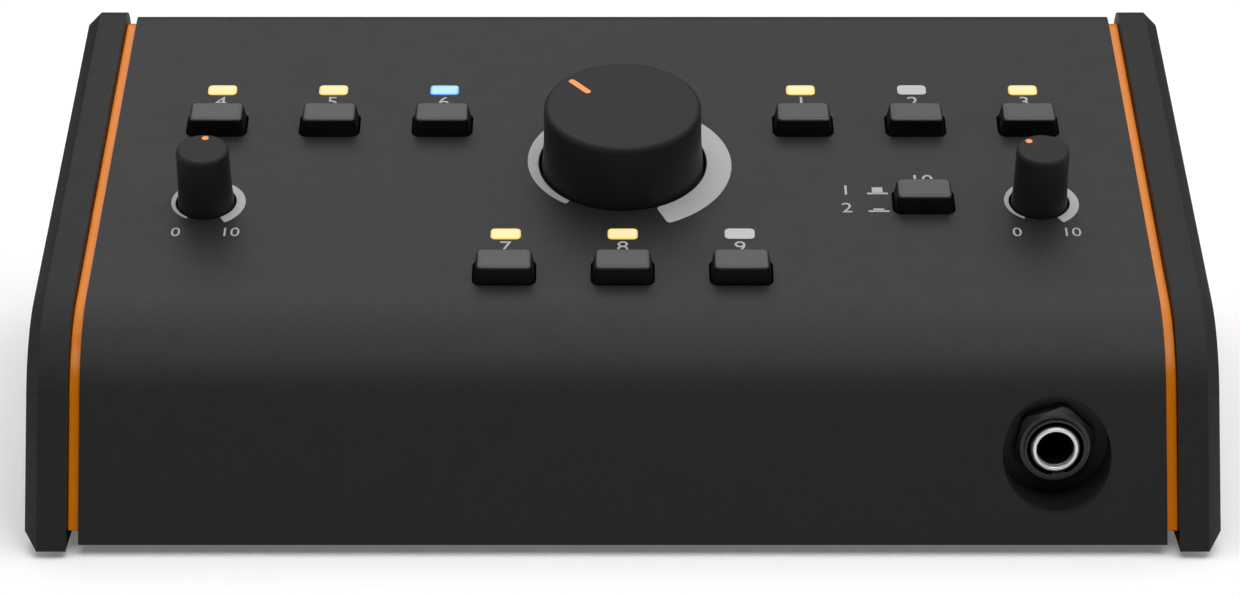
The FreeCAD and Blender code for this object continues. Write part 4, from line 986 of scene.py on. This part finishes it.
# Where the turned bevel of a nut starts and ends: radius and height
BEVEL_TOP = (5.95 * MM, NUT_THICK)
BEVEL_FOOT = (7.1 * MM, 1.75 * MM)
BUSHING_TOP = 3.2 * MM
BUSHING_FOOT = -1.4 * MM
BUSHING_BORE = 3.98 * MM
THREAD_CREST = 5.18 * MM
THREAD_ROOT = 4.98 * MM
THREAD_PITCH = 0.5 * MM
RING_INNER = 3.21 * MM
RING_OUTER = 3.93 * MM
RING_TOP = 3.7 * MM
RING_FOOT = 2.3 * MM
CHAMBER_BORE = 3.3 * MM
CHAMBER_OUTER = 3.9 * MM
CHAMBER_TOP = 2.2 * MM
CHAMBER_DEPTH = 19 * MM
SLEEVE_WALL = 1.2 * MM
SLEEVE_LENGTH = 16 * MM
REAR_SOCKETS = 8


def hexagon(across_flats):
    reach = across_flats / 2 / math.cos(math.radians(30))
    return [(reach * math.sin(math.radians(60 * k)), reach * math.cos(math.radians(60 * k)))
            for k in range(6)]


def socket_nut(matrix):
    """Hexagon nut with a turned bevel on its outer face."""
    nut = prism("nut", hexagon(NUT_FLATS), NUT_THICK)
    over, beyond = NUT_THICK + 0.15 * MM, 8.6 * MM
    under = -0.1 * MM
    cone = turned("cone", [(BEVEL_TOP[0], over), BEVEL_TOP, BEVEL_FOOT, (BEVEL_FOOT[0], under),
                           (beyond, under), (beyond, over)], 96)
    hole = prism("hole", circle_points(0, 0, NUT_BORE / 2, 64), NUT_THICK + 1.4 * MM)
    hole.location.z = -0.7 * MM
    carve(nut, [settle(cone), settle(hole)])
    return settle(nut, matrix)


def threaded_bushing(matrix):
    """Bushing with a fine thread shown as shallow grooves, and its dished mouth."""
    bevel, land = 0.2 * MM, 0.1 * MM
    profile = [(BUSHING_BORE, BUSHING_TOP - 0.25 * MM), (BUSHING_BORE + 0.17 * MM, BUSHING_TOP),
               (4.85 * MM, BUSHING_TOP)]
    z = BUSHING_TOP - bevel
    while z > BUSHING_FOOT + THREAD_PITCH:
        profile += [(THREAD_CREST, z - land), (THREAD_ROOT, z - THREAD_PITCH / 2),
                    (THREAD_CREST, z - THREAD_PITCH + land)]
        z -= THREAD_PITCH
    profile += [(THREAD_CREST, BUSHING_FOOT), (BUSHING_BORE, BUSHING_FOOT)]
    return settle(turned("bushing", profile, 64), matrix)


def bright_ring(matrix):
    """Plated ring at the mouth of a socket."""
    outline = [(RING_INNER, RING_FOOT), (RING_INNER, RING_TOP), (RING_OUTER, RING_TOP),
               (RING_OUTER, RING_FOOT)]
    inner_edge, outer_edge = 0.28 * MM, 0.3 * MM
    profile = fillet_profile(outline, {1: inner_edge, 2: outer_edge}, 6)
    return settle(turned("ring", profile, 72), matrix)


def socket_chamber(matrix):
    """Dark bore of the socket behind its ring, closed at its end."""
    end = -CHAMBER_DEPTH - 0.4 * MM
    outline = [(0, -CHAMBER_DEPTH), (CHAMBER_BORE, -CHAMBER_DEPTH), (CHAMBER_BORE, CHAMBER_TOP),
               (CHAMBER_OUTER, CHAMBER_TOP), (CHAMBER_OUTER, end), (0, end)]
    return settle(turned("chamber", outline, 48), matrix)


class CONTROLLER_OT_sockets(bpy.types.Operator):
    """Model the front socket, its recess and the row of rear sockets"""
    bl_idname = "controller.sockets"
    bl_label = "Sockets"

    def execute(self, context):
        low, high = cad("phones_jack_ring")
        axis = (low + high) / 2
        front = wall_matrix(axis.x, cad("phones_jack_nut")[1].y, axis.z, False, NUT_TURN)
        nuts, rings = cad("rear_jack_nuts"), cad("rear_jack_rings")
        step = ((rings[1].x - rings[0].x) - (high.x - low.x)) / (REAR_SOCKETS - 1)
        first = rings[0].x + (high.x - low.x) / 2
        rear = [wall_matrix(first + k * step, nuts[0].y, axis.z, True) for k in range(REAR_SOCKETS)]
        kinds = (("nut", socket_nut, "moulding", "black_plastic"),
                 ("ring", bright_ring, "nickel", "bright_metal"))
        for where, node, plural, places in (("front", "phones_jack_", "", [front]),
                                            ("rear", "rear_jack_", "s", rear)):
            for kind, maker, finish, slot in kinds:
                piece = join(f"{where}_socket_{kind}", [maker(m) for m in places])
                finish_piece(piece, FINISH[finish], nodes=[node + kind + plural])
            bushes = [threaded_bushing(m) for m in places] + [socket_chamber(m) for m in places]
            bush = join(where + "_socket_bushing", bushes)
            finish_piece(bush, FINISH["moulding"])
        self.sleeve(axis.x, axis.z)
        return {"FINISHED"}

    def sleeve(self, across, up):
        """Wall of the recess, its mouth cut to the lean of the front."""
        size = housing()
        y_zero, z_zero = side_zero()
        inner, outer = size.recess / 2, size.recess / 2 + SLEEVE_WALL
        outline = [(inner, 0), (inner, SLEEVE_LENGTH), (outer, SLEEVE_LENGTH), (outer, 0)]
        sleeve = turned("recess_sleeve", outline, 96)
        settle(sleeve, wall_matrix(across, cad("phones_recess_sleeve")[1].y, up, False))
        behind_sheet = size.cover_inset + size.sheet + 0.1 * MM
        foot = y_zero + behind_sheet / math.cos(size.lean)
        top = 40 * MM
        wedge = prism("wedge", [(foot - top, z_zero), (foot, z_zero),
                                (foot + top * math.tan(size.lean), z_zero + top),
                                (foot - top, z_zero + top)], top)
        carve(sleeve, [settle(wedge, across_matrix(across - top / 2))])
        settle(sleeve)
        finish_piece(sleeve, FINISH["moulding"], nodes=["phones_recess_sleeve"])


class CONTROLLER_OT_carried(bpy.types.Operator):
    """Finish the pieces that keep their CAD shape"""
    bl_idname = "controller.carried"
    bl_label = "Carried pieces"

    def execute(self, context):
        plain = {
            "tray": ["chassis_tray"], "board": ["control_board", "main_board"],
            "steel": ["control_board_posts", "main_board_spacers", "housing_screws", "volume_pot",
                      "volume_shaft", "source_shaft", "phones_shaft"],
            "nickel": ["phono_barrels"], "foot": ["rubber_feet"],
            "moulding": ["phones_jack_body", "rear_jack_bodies", "phono_block", "supply_inlet",
                         "power_switch_body", "power_rocker", "level_pots", "switch_housings"],
            "clear": ["indicator_lamps"],
            "stem": [name + "_stem" for name, *_ in buttons()],
        }
        for finish, nodes in plain.items():
            for node in nodes:
                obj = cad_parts[node]
                if not obj.material_slots:
                    raise RuntimeError(f"{node} has no material slot")
                for material_slot in obj.material_slots:
                    material_slot.material = FINISH[finish]
        return {"FINISHED"}


class CONTROLLER_OT_finishes(bpy.types.Operator):
    """Make the materials of every finish"""
    bl_idname = "controller.finishes"
    bl_label = "Finishes"

    def execute(self, context):
        make_finishes()
        return {"FINISHED"}


# Stage

# The camera as solved from the photo's outlines: picture width and focal length in pixels,
# degrees down, and the eye from the cheeks' front bottom edge
FRAME_WIDTH = 1240
FOCAL_PIXELS = 3900
SENSOR = 36.0
PITCH = 21.0
EYE_AHEAD = 0.5973
EYE_ABOVE = 0.275
EYE_ASIDE = -0.00047
FLOOR_SIZE = 6.0
FLOOR_LIFT = 0.15
WORLD_STRENGTH = 0.12
# Name, place, what it faces, width, depth and watts of each soft light
LIGHTS = (("overhead_softbox", (0.12, 0.38, 1.25), (0, 0.02, 0.03), 2.2, 1.5, 18.5),
          ("front_softbox", (0.15, -0.8, 1.6), (0, 0, 0.03), 1.6, 0.7, 9.5),
          ("left_softbox", (-1.3, -0.2, 0.7), (0, 0, 0.03), 0.8, 0.8, 2.6),
          ("right_softbox", (1.3, -0.2, 0.7), (0, 0, 0.03), 0.8, 0.8, 2.6))


def area_light(name, spot, target, width, height, power):
    begin()
    bpy.ops.object.light_add(type="AREA", location=spot)
    lamp = bpy.context.object
    lamp.name = name
    lamp.data.shape = "RECTANGLE"
    lamp.data.size = width
    lamp.data.size_y = height
    lamp.data.energy = power
    way = Vector(target) - Vector(spot)
    lamp.rotation_euler = way.to_track_quat("-Z", "Y").to_euler()


def floor_material():
    """Pale floor, lifted a little towards white where the camera sees it."""
    material, tree, shader, place = new_material("pale_floor")
    broad = noise(tree, place, 3.0, 2.0)
    tree.links.new(tint(tree, broad.outputs["Fac"], (0.86, 0.86, 0.86), (0.88, 0.88, 0.88)),
                   shader.inputs["Base Color"])
    put(shader, {"Roughness": 0.6})
    path = tree.nodes.new("ShaderNodeLightPath")
    lift = tree.nodes.new("ShaderNodeMath")
    lift.operation = "MULTIPLY"
    lift.inputs[1].default_value = FLOOR_LIFT
    tree.links.new(path.outputs["Is Camera Ray"], lift.inputs[0])
    tree.links.new(lift.outputs["Value"], shader.inputs["Emission Strength"])
    put(shader, {"Emission Color": (1, 1, 1, 1)})
    return material


class CONTROLLER_OT_stage(bpy.types.Operator):
    """Set the floor, the soft lights and the camera"""
    bl_idname = "controller.stage"
    bl_label = "Stage"

    def execute(self, context):
        scene = context.scene
        begin()
        bpy.ops.mesh.primitive_plane_add(size=FLOOR_SIZE, location=(0, 0, 0))
        floor = bpy.context.object
        floor.name = "floor"
        floor.data.materials.append(floor_material())
        for light in LIGHTS:
            area_light(*light)
        world = bpy.data.worlds.new("studio")
        scene.world = world
        world.use_nodes = True
        background = world.node_tree.nodes["Background"]
        put(background, {"Color": (1, 1, 1, 1), "Strength": WORLD_STRENGTH})
        scene.view_settings.view_transform = "Standard"
        y_zero, z_zero = side_zero()
        begin()
        bpy.ops.object.camera_add(location=(EYE_ASIDE, y_zero - EYE_AHEAD, z_zero + EYE_ABOVE),
                                  rotation=(math.radians(90 - PITCH), 0, 0))
        camera = bpy.context.object
        camera.data.sensor_width = SENSOR
        camera.data.sensor_fit = "HORIZONTAL"
        camera.data.lens = SENSOR * FOCAL_PIXELS / FRAME_WIDTH
        scene.camera = camera
        return {"FINISHED"}


OPERATORS = (CONTROLLER_OT_finishes, CONTROLLER_OT_stage, CONTROLLER_OT_cover, CONTROLLER_OT_sides,
             CONTROLLER_OT_knobs, CONTROLLER_OT_caps, CONTROLLER_OT_windows, CONTROLLER_OT_print,
             CONTROLLER_OT_sockets, CONTROLLER_OT_carried)


class CONTROLLER_PT_pieces(bpy.types.Panel):
    """Sidebar panel that lists the pieces"""
    bl_idname = "CONTROLLER_PT_pieces"
    bl_label = "Monitor controller"
    bl_space_type = "VIEW_3D"
    bl_region_type = "UI"
    bl_category = "Controller"

    def draw(self, context):
        for operator in OPERATORS:
            self.layout.operator(operator.bl_idname)


CLASSES = (HousingSizes, ControlSizes, FinishColours, *OPERATORS, CONTROLLER_PT_pieces)


def register():
    for item in CLASSES:
        bpy.utils.register_class(item)
    bpy.types.Scene.controller_housing = PointerProperty(type=HousingSizes)
    bpy.types.Scene.controller_controls = PointerProperty(type=ControlSizes)
    bpy.types.Scene.controller_colours = PointerProperty(type=FinishColours)


def unregister():
    del bpy.types.Scene.controller_housing
    del bpy.types.Scene.controller_controls
    del bpy.types.Scene.controller_colours
    for item in reversed(CLASSES):
        bpy.utils.unregister_class(item)


def main():
    register()
    for operator in OPERATORS:
        group, name = operator.bl_idname.split(".")
        getattr(getattr(bpy.ops, group), name)()


if __name__ == "__main__":
    main()
